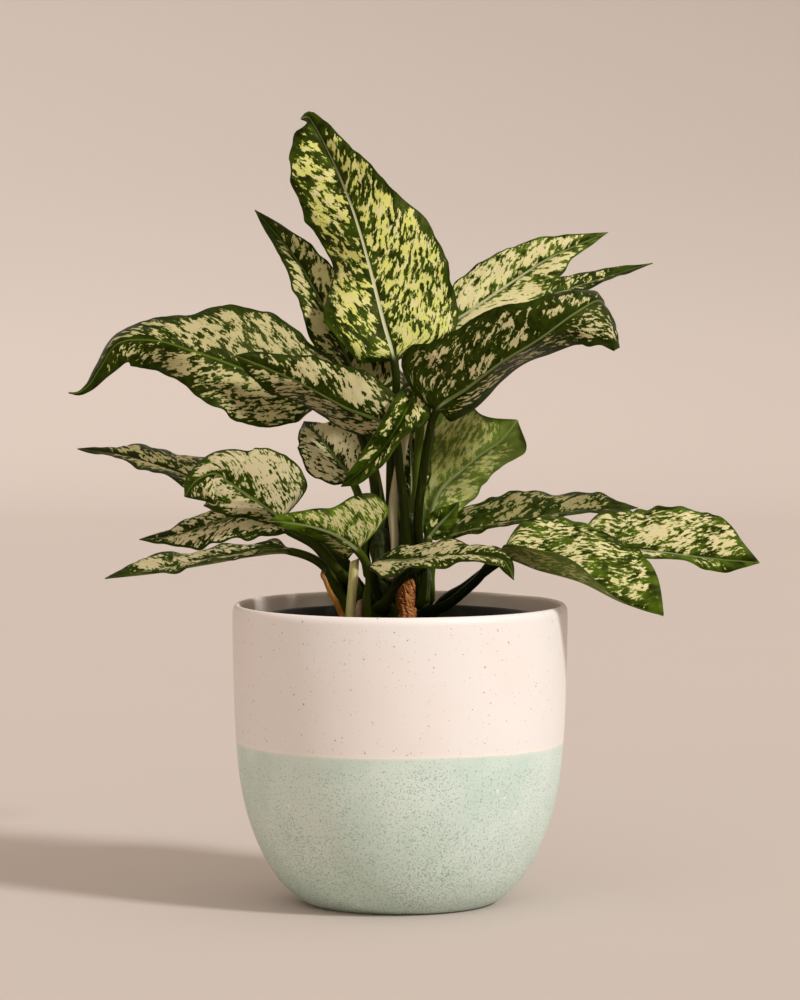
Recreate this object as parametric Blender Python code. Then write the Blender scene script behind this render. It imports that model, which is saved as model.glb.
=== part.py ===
"""Potted aglaonema: a leafy house plant in its grow pot, inside a two-tone ceramic pot.

Every size in the tables is in millimetres and is turned into metres when a mesh is made.
The origin is the middle of the ceramic pot's flat foot, +Z is up, +X is to the viewer's
right and +Y points away from the viewer.
"""

import math
import random
from dataclasses import dataclass

import bmesh
import bpy
import numpy as np

MM = 0.001
GAP = 0.3
SEED = 11
ROUND_STEPS = 48

# Ceramic pot: radius and height down the outer side, from under the lip to the foot
POT_HEIGHT = 170.0
POT_OUTLINE = [(95.0, 158.0), (94.4, 125.0), (93.0, 92.0), (90.2, 66.0), (85.4, 46.0), (80.0, 32.0),
               (72.0, 17.5), (63.5, 7.5), (57.0, 2.4), (52.0, 0.0)]
POT_STATIONS = 11
LIP_STATIONS = 7
POT_WALL = 4.0
POT_FLOOR = 7.0
POT_FLOOR_RADIUS = 50.0
GLAZE_LINE = 92.0

# Grow pot
GROW_FOOT_RADIUS = 46.0
GROW_NECK_RADIUS = 78.4
GROW_TOP = 163.0
GROW_WALL = 1.2
GROW_FLOOR = 1.6
GROW_RIM_REACH = 1.8
GROW_RIM_DROP = 5.0
DRAIN_HOLES = 6
DRAIN_RADIUS = 5.0
DRAIN_CIRCLE = 31.0
DRAIN_SIDES = 10

# Soil: its mean level, the height of its lumps, and its rings as shares of its radius
SOIL_TOP = 153.5
SOIL_RELIEF = 1.3
SOIL_RINGS = [0.22, 0.45, 0.68, 0.88]
ROOT_DEPTH = 34.0
HOLE_SLACK = 0.44
HOLE_OVERRUN = 10.0

# Canes: the swelling of a leaf scar, and the rise from one scar to the next
CANE_RING = 1.05
CANE_STEP = 11.0
CANE_SIDES = 10

# Leaves: stations across a blade, and along a petiole and a blade, as shares of each
ACROSS = [-1.0, -0.55, -0.1, 0.0, 0.1, 0.55, 1.0]
ALONG_PETIOLE = [0.0, 0.22, 0.48, 0.76]
ALONG_BLADE = [0.0, 0.04, 0.1, 0.18, 0.27, 0.36, 0.46, 0.56, 0.66, 0.76, 0.86, 0.94, 0.985]
OUTLINE_AT = [0.1, 0.25, 0.42, 0.6, 0.78, 0.92]
ROUND_BASE = 0.6
BLADE_THICK = 1.0
BLADE_OPENS = 0.08
FULL_REACH = 12.0
WAVE_OFFSET = 0.17
MIDRIB_DEPTH = 1.8
PETIOLE_FOOT = 3.0
PETIOLE_NECK = 2.3
TIP_RADIUS = 0.6
SEAT_OUT = 1.5
SEAT_RISE = 12.0

# Old stalks: points from the root up, radius at the foot and at the top, and colour
STALK_SIDES = 8
STALKS = {
    "pale_stalk": ([(-29.5, -18, 138), (-29, -18, 158), (-27, -17.5, 178), (-25.5, -17, 196)],
                   2.7, 2.6, (0.62, 0.62, 0.38)),
    "dry_stalk": ([(-26, -26, 136), (-31, -24, 160), (-36.5, -21, 173), (-42, -19, 184),
                   (-43.6, -18.5, 188.5), (-41.6, -18.2, 191)], 1.7, 0.7, (0.30, 0.12, 0.04)),
    "cut_stub": ([(-26, -5, 140), (-24.5, -5, 158), (-23, -5, 166), (-20.5, -5, 173)],
                 2.6, 2.8, (0.40, 0.22, 0.17)),
}

# Dry sheath round the front of a cane: bearings, heights, and its share of the width at each
SHEATH_CANE = "cane_right_front"
SHEATH_BEARINGS = (-165.0, -42.0)
SHEATH_HEIGHTS = [155.6, 161.0, 167.0, 173.0, 178.0, 182.0, 185.0]
SHEATH_SPREAD = [1.0, 1.0, 0.97, 0.92, 0.8, 0.6, 0.3]
SHEATH_COLUMNS = 9
SHEATH_STAND_OFF = 0.4
SHEATH_WRINKLE = 0.7
SHEATH_THICK = 0.9


@dataclass(frozen=True)
class Cane:
    """An upright stem: where it stands, its radius, its top, and how far the top leans."""

    name: str
    foot: tuple[float, float]
    radius: float
    top: float
    lean: tuple[float, float]

    def centre(self, height: float) -> np.ndarray:
        """The middle of the cane at a height: plumb in the soil, leaning above it."""
        rise = max(0.0, (height - SOIL_TOP) / (self.top - SOIL_TOP)) ** 1.5
        return np.array([self.foot[0] + self.lean[0] * rise, self.foot[1] + self.lean[1] * rise, height])


@dataclass(frozen=True)
class Leaf:
    """One leaf: its seat on a cane, the run of its petiole and midrib, and how its blade lies.

    seat is the height and the bearing round the cane, with 0 at +X and 90 away from the viewer.
    Left and right are those of someone who looks along the upper side from base to tip. Each
    half is a list of margin places at OUTLINE_AT: the reach from the midrib, and the lift
    towards the upper side.
    """

    name: str
    cane: str
    seat: tuple[float, float]
    petiole: list[tuple[float, float, float]]
    midrib: list[tuple[float, float, float]]
    facing: list[tuple[float, float, float]]
    left: list[tuple[float, float]]
    right: list[tuple[float, float]]
    arch: float = 2.0
    ripple: tuple[float, float, float] = (1.2, 3.0, 0.0)
    lobe: float = 4.0


def even(reach: float, lift: float) -> list[tuple[float, float]]:
    """A plain half-blade outline of one greatest reach and lift."""
    return [(reach * a, lift * b) for a, b in
            [(0.66, 0.4), (0.95, 0.8), (1.0, 1.0), (0.84, 0.9), (0.5, 0.6), (0.2, 0.2)]]


CANES = [
    Cane("cane_left_front", (-11.5, -4.0), 4.8, 214.0, (1.0, 2.0)),
    Cane("cane_right_front", (4.0, -3.0), 5.0, 222.0, (1.5, 1.0)),
    Cane("cane_back", (-3.0, 21.0), 5.2, 218.0, (0.0, 0.5)),
    Cane("cane_left", (-24.0, 9.0), 4.6, 186.0, (-3.0, 1.0)),
    Cane("cane_right", (12.0, 14.0), 4.4, 190.0, (2.0, 0.0)),
]

LEAVES = [
    Leaf("leaf_top", "cane_left_front", (178, 70),
         [(-6, 6, 214), (-5, 4, 257)],
         [(-3, 8, 306), (-9, 10, 328), (-18, 16, 363), (-28, 26, 396), (-40, 36, 424), (-50, 40, 443),
          (-57, 34, 444)],
         [(0.1, -1, 0.15), (-0.2, -1, 0.2)],
         left=[(27, 4), (31, 2), (20, -14), (27, -4), (26, 3), (13, 2)],
         right=[(35, -6), (45, -10), (40, -4), (20, 4), (12, 5), (6, 2)]),
    Leaf("leaf_upper_left", "cane_back", (196, 215),
         [(-16, 20, 240), (-23, 22, 268)],
         [(-29, 26, 292), (-37, 30, 317), (-47, 36, 342), (-58, 44, 362), (-70, 52, 377), (-84, 60, 393)],
         [(0.3, -0.95, 0.25)],
         left=[(10, 3), (16, 6), (16, 7), (12, 6), (7, 3), (3, 1)],
         right=[(10, 3), (17, 6), (18, 7), (14, 6), (9, 3), (4, 1)]),
    Leaf("leaf_left_large", "cane_left_front", (186, 165),
         [(-14, 2, 226), (-19, 5, 256)],
         [(-31, 4, 281), (-62, -6, 292), (-90, -14, 304), (-117, -20, 314), (-140, -24, 320),
          (-158, -26, 318), (-168, -26, 304), (-182, -26, 291)],
         [(-0.1, -0.95, 0.4)],
         left=[(5, -12), (26, -8), (28, 2), (11, -16), (14, -6), (4, -3)],
         right=[(28, -4), (37, -6), (36, -4), (21, -10), (9, -10), (6, -4)]),
    Leaf("leaf_cream_left", "cane_right_front", (188, -100),
         [(3, -12, 212), (0, -11, 245)],
         [(-4, -14, 268), (-31, -24, 282), (-56, -32, 296), (-77, -38, 306), (-92, -42, 312)],
         [(0, -0.95, 0.3)],
         left=[(10, -10), (6, -20), (5, -20), (7, -16), (9, -8), (5, -3)],
         right=[(16, 2), (24, 2), (21, 4), (17, 3), (10, 2), (5, 1)]),
    Leaf("leaf_right_large", "cane_right_front", (170, -10),
         [(10, -12, 216), (12.5, -14, 241), (16, -15, 264)],
         [(20, -16, 279), (38, -24, 293), (56, -32, 307), (78, -38, 321), (97, -38, 335), (110, -27, 342),
          (115, -10, 339), (115, 4, 333)],
         [(-0.1, -1, 0.3), (-0.1, -1, 0.25), (0, -1, 0.3), (0.6, -0.7, 0.5), (1, 0, 0.6)],
         left=[(31, -2), (30, 2), (28, 4), (20, 0), (8, -2), (4, 0)],
         right=[(9, -14), (4, -20), (3, -23), (7, -20), (26, -8), (18, -2)]),
    Leaf("leaf_upper_right", "cane_right_front", (200, 60),
         [(10, 14, 240), (13, 22, 290)],
         [(16, 28, 316), (42, 38, 336), (64, 48, 351), (88, 58, 366), (104, 65, 373), (121, 72, 380)],
         [(-0.1, -0.85, 0.5)],
         left=[(8, 2), (17, 3), (21, 2), (18, 4), (9, 2), (4, 1)],
         right=[(8, 2), (17, 2), (22, 0), (18, 2), (8, 2), (3, 1)]),
    Leaf("leaf_right_slim", "cane_right", (180, 125),
         [(5, 33, 214), (9, 46, 244), (21, 54, 272), (38, 58, 302)],
         [(60, 66, 330), (80, 70, 340), (100, 78, 347), (122, 86, 354), (148, 92, 362)],
         [(0, -0.5, 0.85)],
         left=even(10, 3), right=even(10, 3)),
    Leaf("leaf_right_underside", "cane_right", (170, 20),
         [(18, 24, 194)],
         [(16, 30, 206), (23, 36, 232), (36, 42, 244), (46, 46, 252), (58, 50, 260), (68, 54, 272)],
         [(-0.2, 1, 0.2)],
         left=[(12, 3), (19, 5), (22, 6), (19, 5), (15, 3), (12, 1)],
         right=[(6, 2), (16, 4), (32, 6), (38, 4), (27, 3), (10, 1)]),
    Leaf("leaf_centre_low", "cane_right", (172, -100),
         [(14, 7, 192)],
         [(16, 9, 206), (21, 10, 213), (27, 12, 219), (34, 14, 227)],
         [(0.5, -0.8, 0.3)],
         left=even(8, 1), right=even(7, 2), lobe=2),
    Leaf("leaf_behind_left", "cane_back", (178, 172),
         [(-17, 24, 205)],
         [(-27, 32, 237), (-37, 44, 250), (-47, 60, 262), (-56, 76, 270)],
         [(0.1, -0.9, 0.5)],
         left=even(20, 3), right=even(18, 3)),
    Leaf("leaf_centre_twist", "cane_left_front", (186, -20),
         [(-4, -7, 222), (-1, -4, 250), (1, 0, 280)],
         [(1, -4, 299), (-1, -20, 285), (-5, -30, 271), (-11, -36, 259), (-21, -40, 250), (-32, -40, 238)],
         [(0, -0.6, 0.8), (-0.1, -0.9, 0.35), (-0.3, -0.9, 0.3)],
         left=[(12, 0), (17, 2), (12, 8), (7, 12), (9, 8), (6, 3)],
         right=[(5, 6), (6, 12), (6, 14), (6, 12), (4, 8), (2, 3)]),
    Leaf("leaf_left_high", "cane_left", (176, 120),
         [(-36, 18, 196), (-56, 22, 213)],
         [(-84, 28, 226), (-104, 34, 232), (-124, 41, 240), (-146, 48, 247), (-168, 53, 252),
          (-187, 56, 255)],
         [(0, -0.25, 0.97)],
         left=[(10, 1), (16, 2), (18, 3), (15, 2), (9, 1), (4, 0)],
         right=[(12, 3), (22, 4), (24, 4), (20, 4), (12, 2), (5, 1)]),
    Leaf("leaf_left_cream", "cane_left", (166, -80),
         [(-34, -7, 188), (-45, -9, 202)],
         [(-66, -12, 218), (-81, -15, 229), (-95, -19, 239), (-104, -22, 245), (-113, -24, 242),
          (-121, -24, 232)],
         [(-0.1, -0.9, 0.45)],
         left=[(4, -10), (8, -10), (14, -6), (17, -4), (16, -2), (8, -1)],
         right=[(26, 2), (32, 3), (28, 3), (18, 2), (8, 1), (4, 0)], lobe=9),
    Leaf("leaf_left_low", "cane_left", (170, 170),
         [(-38, 8, 188), (-48, 6, 202)],
         [(-62, 4, 210), (-78, 8, 217), (-90, 10, 219), (-102, 12, 216), (-116, 14, 211), (-130, 16, 207),
          (-149, 18, 205)],
         [(0, -0.45, 0.9)],
         left=[(10, 0), (17, -4), (18, -5), (16, -4), (10, -2), (4, 0)],
         right=[(7, 2), (10, 3), (11, 3), (12, 2), (9, 1), (4, 0)]),
    Leaf("leaf_left_lowest", "cane_left", (160, -150),
         [(-36, 3, 178), (-43, -1, 191)],
         [(-61, -8, 200), (-84, -14, 199), (-101, -18, 196), (-118, -20, 193), (-135, -22, 190),
          (-151, -24, 188), (-166, -24, 186)],
         [(0, -0.3, 0.95)],
         left=[(8, 3), (14, 5), (16, 6), (13, 5), (8, 3), (3, 1)],
         right=[(12, 2), (16, 1), (16, 1), (15, 3), (12, 5), (5, 2)]),
    Leaf("leaf_front_left", "cane_left_front", (158, -140),
         [(-17, -12, 184)],
         [(-24, -26, 202), (-36, -34, 211), (-48, -42, 216), (-61, -48, 219), (-74, -50, 220)],
         [(-0.1, -0.95, 0.35)],
         left=[(8, -8), (5, -10), (4, -8), (3, -5), (3, -2), (2, 0)],
         right=[(32, -4), (28, -2), (14, 0), (9, 0), (6, 0), (3, 0)], lobe=12),
    Leaf("leaf_front_right", "cane_left_front", (156, -45),
         [(-9, -12, 172), (-14, -19, 183)],
         [(-14, -26, 193), (4, -38, 197), (24, -49, 200), (45, -57, 201), (58, -60, 198), (63, -62, 188)],
         [(0, -0.35, 0.93)],
         left=[(9, 3), (14, 4), (15, 3), (13, 2), (9, 2), (4, 0)],
         right=[(12, 0), (17, -2), (15, 0), (11, 0), (9, 0), (5, 0)]),
    Leaf("leaf_right_mid", "cane_left_front", (155, -98),
         [(-8, -20, 173), (-1, -21, 182), (9, -19, 188), (20, -14, 193), (27, 0, 198)],
         [(27, 13, 205), (45, 20, 211), (61, 22, 214), (81, 26, 217), (98, 30, 219), (115, 32, 221),
          (137, 36, 222)],
         [(0, -0.6, 0.8)],
         left=[(14, 0), (23, 1), (25, 2), (21, 0), (14, 0), (7, 0)],
         right=[(8, 6), (14, 10), (16, 12), (14, 10), (8, 5), (4, 2)]),
    Leaf("leaf_right_far", "cane_right", (160, -15),
         [(38, 2, 179), (56, -4, 194), (78, -8, 205)],
         [(103, -4, 212), (124, -12, 203), (149, -18, 200), (176, -22, 197), (202, -26, 195)],
         [(0.1, -0.8, 0.6)],
         left=[(20, 0), (27, 2), (31, 0), (31, 1), (26, 0), (10, 0)],
         right=[(5, -2), (9, 0), (8, 4), (6, 4), (9, 0), (4, 0)]),
    Leaf("leaf_right_low", "cane_right", (158, -80),
         [(26, -4, 173), (42, -14, 187)],
         [(56, -26, 198), (78, -34, 192), (100, -40, 186), (125, -44, 174), (147, -46, 167)],
         [(0.2, -0.85, 0.5)],
         left=[(28, 0), (38, 0), (36, 1), (34, 1), (31, 0), (20, 0)],
         right=[(4, 20), (6, 30), (2, 24), (2, 10), (2, 4), (1, 1)]),
    Leaf("leaf_back_centre", "cane_back", (184, -60),
         [(5, 16, 210)],
         [(7, 22, 228), (6, 27, 262), (4, 50, 288), (2, 82, 298), (0, 114, 294)],
         [(0, -1, 0.2), (0, -0.2, 1)],
         left=[(10, 2), (12, 3), (18, 4), (21, 4), (14, 3), (6, 1)],
         right=[(10, 2), (12, 3), (18, 4), (21, 4), (14, 3), (6, 1)]),
    Leaf("leaf_back_left", "cane_back", (196, 130),
         [(-14, 43, 240), (-26, 56, 278)],
         [(-38, 62, 296), (-54, 74, 306), (-70, 94, 310), (-84, 112, 306), (-96, 126, 296)],
         [(0.2, -0.3, 0.95)],
         left=even(28, 5), right=even(28, 5)),
    Leaf("leaf_back_right", "cane_back", (200, 88),
         [(0, 44, 242), (12, 62, 282)],
         [(28, 74, 304), (42, 94, 314), (56, 114, 318), (68, 132, 314), (78, 146, 306)],
         [(-0.2, -0.3, 0.95)],
         left=even(25, 4), right=even(25, 4)),
]


def smooth(knots: np.ndarray, values: np.ndarray, at: np.ndarray) -> np.ndarray:
    """Values read from a smooth curve that passes through the given ones at their knots."""
    values = np.asarray(values, float).reshape(len(knots), -1)
    if len(knots) == 1:
        return np.repeat(values, len(at), axis=0)
    steps = np.diff(knots)[:, None]
    slopes = np.diff(values, axis=0) / steps
    inner = (slopes[:-1] * steps[1:] + slopes[1:] * steps[:-1]) / (steps[:-1] + steps[1:])
    bends = np.vstack([slopes[:1], inner, slopes[-1:]])
    first = np.clip(np.searchsorted(knots, at, side="right") - 1, 0, len(knots) - 2)
    size = steps[first]
    u = ((at - np.asarray(knots)[first]) / size[:, 0])[:, None]
    return ((1 + 2 * u) * (1 - u) ** 2 * values[first] + u * (1 - u) ** 2 * size * bends[first]
            + u ** 2 * (3 - 2 * u) * values[first + 1] + u ** 2 * (u - 1) * size * bends[first + 1])


def unit(vectors: np.ndarray) -> np.ndarray:
    """The vectors at length 1."""
    return vectors / np.linalg.norm(vectors, axis=-1, keepdims=True)


def run_along(points: list, neck: int) -> tuple[np.ndarray, np.ndarray]:
    """Places and directions at the stations of a petiole and of the blade after point neck."""
    points = np.array(points, float)
    reach = np.concatenate([[0], np.cumsum(np.linalg.norm(np.diff(points, axis=0), axis=1))])
    blade = reach[neck] + np.array(ALONG_BLADE) * (reach[-1] - reach[neck])
    at = np.concatenate([np.array(ALONG_PETIOLE) * reach[neck], blade])
    step = 0.01 * reach[-1]
    ahead = smooth(reach, points, np.minimum(at + step, reach[-1]))
    behind = smooth(reach, points, np.maximum(at - step, 0))
    return smooth(reach, points, at), unit(ahead - behind)


def half_blade(outline: list, along: np.ndarray) -> tuple[np.ndarray, np.ndarray]:
    """The margin's reach and lift along the blade, from no reach at its base and its tip."""
    knots = np.array([0.0, *OUTLINE_AT, 1.0]) ** ROUND_BASE
    values = [(0, 0), *outline, (0, 0)]
    margin = smooth(knots, values, along ** ROUND_BASE)
    floor = PETIOLE_NECK + (TIP_RADIUS - PETIOLE_NECK) * along
    return np.maximum(margin[:, 0], floor), margin[:, 1]


def leaf_rings(leaf: Leaf) -> np.ndarray:
    """The leaf's cross-sections: round along the petiole, then a thin blade with its midrib."""
    cane = next(cane for cane in CANES if cane.name == leaf.cane)
    height, bearing = leaf.seat
    out = np.array([math.cos(math.radians(bearing)), math.sin(math.radians(bearing)), 0])
    seat = cane.centre(height) + out * (cane.radius * CANE_RING + PETIOLE_FOOT + GAP)
    rise = seat + out * SEAT_OUT + [0, 0, SEAT_RISE]
    knots = [seat, rise, *leaf.petiole, *leaf.midrib]
    neck = 2 + len(leaf.petiole)
    along = np.array(ALONG_BLADE)
    places, ahead = run_along(knots, neck)
    first = len(ALONG_PETIOLE)
    share = np.linspace(0, 1, len(leaf.facing))
    upward = np.empty_like(places)
    upward[first:] = smooth(share, leaf.facing, along)
    for row in range(first - 1, -1, -1):
        upward[row] = upward[row + 1]
    upward = unit(upward - ahead * np.sum(upward * ahead, axis=1, keepdims=True))
    rightward = np.cross(ahead, upward)
    return np.array([*petiole_sections(places[:first], upward[:first], rightward[:first]),
                     *blade_sections(leaf, along, places[first:], ahead[first:], upward[first:],
                                     rightward[first:])])


def circle_section(place, radius, upward, rightward) -> np.ndarray:
    """A ring of points round a place, from its left over the top to its right and back under."""
    count = 2 * len(ACROSS)
    turn = math.pi - (np.arange(count) + 0.5) * 2 * math.pi / count
    return place + radius * (np.cos(turn)[:, None] * rightward + np.sin(turn)[:, None] * upward)


def petiole_sections(places, upward, rightward) -> list[np.ndarray]:
    """Round sections from the seat to just below the blade."""
    radii = np.interp(ALONG_PETIOLE, [0, 1], [PETIOLE_FOOT, PETIOLE_NECK])
    return [circle_section(*row) for row in zip(places, radii, upward, rightward)]


def blade_sections(leaf: Leaf, along, places, ahead, upward, rightward) -> list[np.ndarray]:
    """Thin arched sections, which grow out of the round petiole over the blade's first part."""
    halves = {-1.0: half_blade(leaf.left, along), 1.0: half_blade(leaf.right, along)}
    height, waves, phase = leaf.ripple
    sections = []
    for row, t in enumerate(along):
        top, under = [], []
        for share in ACROSS:
            u, side = abs(share), math.copysign(1.0, share)
            reach, lift = halves[side][0][row], halves[side][1][row]
            size = min(1.0, reach / FULL_REACH)
            wave = height * size * math.sin(2 * math.pi * (waves * t + phase + WAVE_OFFSET * side))
            rise = lift * u + 4 * leaf.arch * size * u * (1 - u) + wave * u ** 2
            slope = (lift + 4 * leaf.arch * size * (1 - 2 * u) + 2 * wave * u) / reach if u else 0.0
            back = leaf.lobe * size * u ** 1.5 * (1 - t) ** 4
            middle = places[row] + side * u * reach * rightward[row] + rise * upward[row] - back * ahead[row]
            normal = unit(upward[row] - side * slope * rightward[row])
            keel = MIDRIB_DEPTH * (1 - 0.8 * t) if u == 0 else 0.0
            thick = BLADE_THICK * (1 - 0.2 * u)
            top.append(middle + normal * thick / 2)
            under.append(middle - normal * thick / 2 - upward[row] * keel)
        blade = np.array(top + under[::-1])
        neck = circle_section(places[row], PETIOLE_NECK, upward[row], rightward[row])
        part = min(1.0, t / BLADE_OPENS)
        part = part * part * (3 - 2 * part)
        sections.append(part * blade + (1 - part) * neck)
    return sections


def leaf_faces(rows: int) -> list[tuple[int, int, int]]:
    """Triangles over the sections, with the same diagonals on both sides of the blade."""
    count = 2 * len(ACROSS)
    half = len(ACROSS) // 2
    rising = {*range(half, 2 * half), *range(count - 1 - half, count - 1)}
    faces = [(0, k + 1, k) for k in range(1, count - 1)]
    for row in range(rows - 1):
        for k in range(count):
            a, b = row * count + k, row * count + (k + 1) % count
            c, d = b + count, a + count
            faces += [(a, b, c), (a, c, d)] if k in rising else [(a, b, d), (b, c, d)]
    last = (rows - 1) * count
    return faces + [(last, last + k, last + k + 1) for k in range(1, count - 1)]


def tube_rings(points: list, radii: list, sides: int) -> np.ndarray:
    """Round sections square to a line of points, each turned as little as can be from the last."""
    points = np.array(points, float)
    ahead = unit(np.gradient(points, axis=0))
    upward = np.array([0.0, 1.0, 0.0])
    turn = np.arange(sides) * 2 * math.pi / sides
    rings = []
    for place, radius, line in zip(points, radii, ahead):
        upward = unit(upward - line * np.dot(upward, line))
        rightward = np.cross(upward, line)
        rings.append(place + radius * (np.cos(turn)[:, None] * rightward + np.sin(turn)[:, None] * upward))
    return np.array(rings)


def ring_faces(rows: int, sides: int) -> list[tuple[int, ...]]:
    """Quads over round sections, with a flat face at each end."""
    faces = [tuple(range(sides))[::-1]]
    for row in range(rows - 1):
        for k in range(sides):
            a, b = row * sides + k, row * sides + (k + 1) % sides
            faces.append((a, b, b + sides, a + sides))
    return faces + [tuple(range((rows - 1) * sides, rows * sides))]


def finish(name: str, colour: tuple[float, float, float], roughness: float) -> bpy.types.Material:
    """A plain finish of one colour."""
    material = bpy.data.materials.new(name)
    material.use_nodes = True
    shader = material.node_tree.nodes["Principled BSDF"]
    shader.inputs["Base Color"].default_value = (*colour, 1.0)
    shader.inputs["Roughness"].default_value = roughness
    shader.inputs["Metallic"].default_value = 0.0
    return material


def solid(name: str, points: np.ndarray, faces: list, material: bpy.types.Material) -> bpy.types.Object:
    """A named object made of points in millimetres, shaded smooth."""
    mesh = bpy.data.meshes.new(name)
    mesh.from_pydata((np.asarray(points).reshape(-1, 3) * MM).tolist(), [], faces)
    mesh.materials.append(material)
    obj = bpy.data.objects.new(name, mesh)
    bpy.context.scene.collection.objects.link(obj)
    mesh.shade_smooth()
    mesh.set_sharp_from_angle(angle=math.radians(50))
    return obj


def turned(name: str, outline: list[tuple[float, float]], material: bpy.types.Material) -> bpy.types.Object:
    """A round shape turned from an outline that runs over its top and down its outer side."""
    mesh = bpy.data.meshes.new(name)
    points = [(radius * MM, 0.0, height * MM) for radius, height in outline]
    mesh.from_pydata(points, [(k, k + 1) for k in range(len(points) - 1)], [])
    mesh.materials.append(material)
    obj = bpy.data.objects.new(name, mesh)
    bpy.context.scene.collection.objects.link(obj)
    screw = obj.modifiers.new("turn", "SCREW")
    screw.axis = "Z"
    screw.steps = screw.render_steps = ROUND_STEPS
    screw.use_merge_vertices = True
    screw.merge_threshold = 0.0001
    screw.use_smooth_shade = True
    freeze(obj)
    obj.data.set_sharp_from_angle(angle=math.radians(50))
    return obj


def freeze(obj: bpy.types.Object) -> None:
    """The object's mesh becomes what its modifiers make of it."""
    bpy.context.view_layer.update()
    shape = obj.evaluated_get(bpy.context.evaluated_depsgraph_get())
    mesh = bpy.data.meshes.new_from_object(shape)
    old = obj.data
    obj.modifiers.clear()
    obj.data = mesh
    bpy.data.meshes.remove(old)


def cut_by(obj: bpy.types.Object, cutters: list[bpy.types.Object], name: str) -> None:
    """Cuts the cutters out of the object."""
    group = bpy.data.collections.new(name)
    bpy.context.scene.collection.children.link(group)
    for cutter in cutters:
        bpy.context.scene.collection.objects.unlink(cutter)
        group.objects.link(cutter)
        cutter.hide_render = True
        cutter.display_type = "WIRE"
    cut = obj.modifiers.new(name, "BOOLEAN")
    cut.operation = "DIFFERENCE"
    cut.operand_type = "COLLECTION"
    cut.collection = group
    cut.solver = "EXACT"


def pot_outer() -> list[tuple[float, float]]:
    """The ceramic pot's outer side from under the lip down to the foot, smooth through its points."""
    points = np.array(POT_OUTLINE)
    knots = np.concatenate([[0], np.cumsum(np.linalg.norm(np.diff(points, axis=0), axis=1))])
    at = np.concatenate([knots[:2], np.linspace(knots[2], knots[-1], POT_STATIONS)])
    return [tuple(row) for row in smooth(knots, points, at)]


def ceramic_pot() -> bpy.types.Object:
    """The two-tone cover pot: a bowl with a flat foot, a straight wall and a round lip."""
    outer = pot_outer()
    half = POT_WALL / 2
    lip = [(outer[0][0] - half + half * math.cos(turn), POT_HEIGHT - half + half * math.sin(turn))
           for turn in np.linspace(math.pi, 0, LIP_STATIONS)]
    inner = [(radius - POT_WALL, height) for radius, height in outer[::-2]
             if height > POT_FLOOR + POT_WALL and radius > POT_FLOOR_RADIUS + 2 * POT_WALL]
    outline = [(0, POT_FLOOR), (POT_FLOOR_RADIUS, POT_FLOOR), *inner, *lip, *outer, (0, 0)]
    pot = turned("ceramic_pot", outline, finish("cream_glaze", (0.83, 0.73, 0.64), 0.35))
    pot.data.materials.append(finish("sage_glaze", (0.36, 0.45, 0.36), 0.4))
    for face in pot.data.polygons:
        middle = face.center / MM
        wide = math.hypot(middle.x, middle.y)
        lowest_outside = POT_FLOOR_RADIUS + POT_WALL
        outside = middle.z < 1 or face.normal.dot((middle.x, middle.y, 0)) > 0 and wide > lowest_outside
        face.material_index = int(outside and middle.z < GLAZE_LINE)
    return pot


def grow_inner(height: float) -> float:
    """The radius inside the grow pot at a height above the table."""
    base = POT_FLOOR + GAP
    share = (height - base) / (GROW_TOP - base)
    return GROW_FOOT_RADIUS + (GROW_NECK_RADIUS - GROW_FOOT_RADIUS) * share - GROW_WALL


def grow_pot() -> bpy.types.Object:
    """The thin plant pot that holds the soil, with a rim band and holes in its floor."""
    base = POT_FLOOR + GAP
    floor = base + GROW_FLOOR
    band = GROW_TOP - GROW_RIM_DROP
    outline = [(0, floor), (grow_inner(floor), floor), (grow_inner(GROW_TOP), GROW_TOP),
               (GROW_NECK_RADIUS + GROW_RIM_REACH, GROW_TOP), (GROW_NECK_RADIUS + GROW_RIM_REACH, band),
               (grow_inner(band) + GROW_WALL, band), (GROW_FOOT_RADIUS, base), (0, base)]
    plastic = finish("black_plastic", (0.02, 0.02, 0.02), 0.5)
    pot = turned("grow_pot", outline, plastic)
    drills = []
    for turn in np.arange(DRAIN_HOLES) * 2 * math.pi / DRAIN_HOLES:
        middle = np.array([DRAIN_CIRCLE * math.cos(turn), DRAIN_CIRCLE * math.sin(turn), base])
        ends = [middle - [0, 0, 4], middle + [0, 0, 8]]
        rings = tube_rings(ends, [DRAIN_RADIUS] * 2, DRAIN_SIDES)
        drills.append(solid(f"drain_{len(drills)}", rings, ring_faces(2, DRAIN_SIDES), plastic))
    cut_by(pot, drills, "drain_holes")
    return pot


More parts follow.
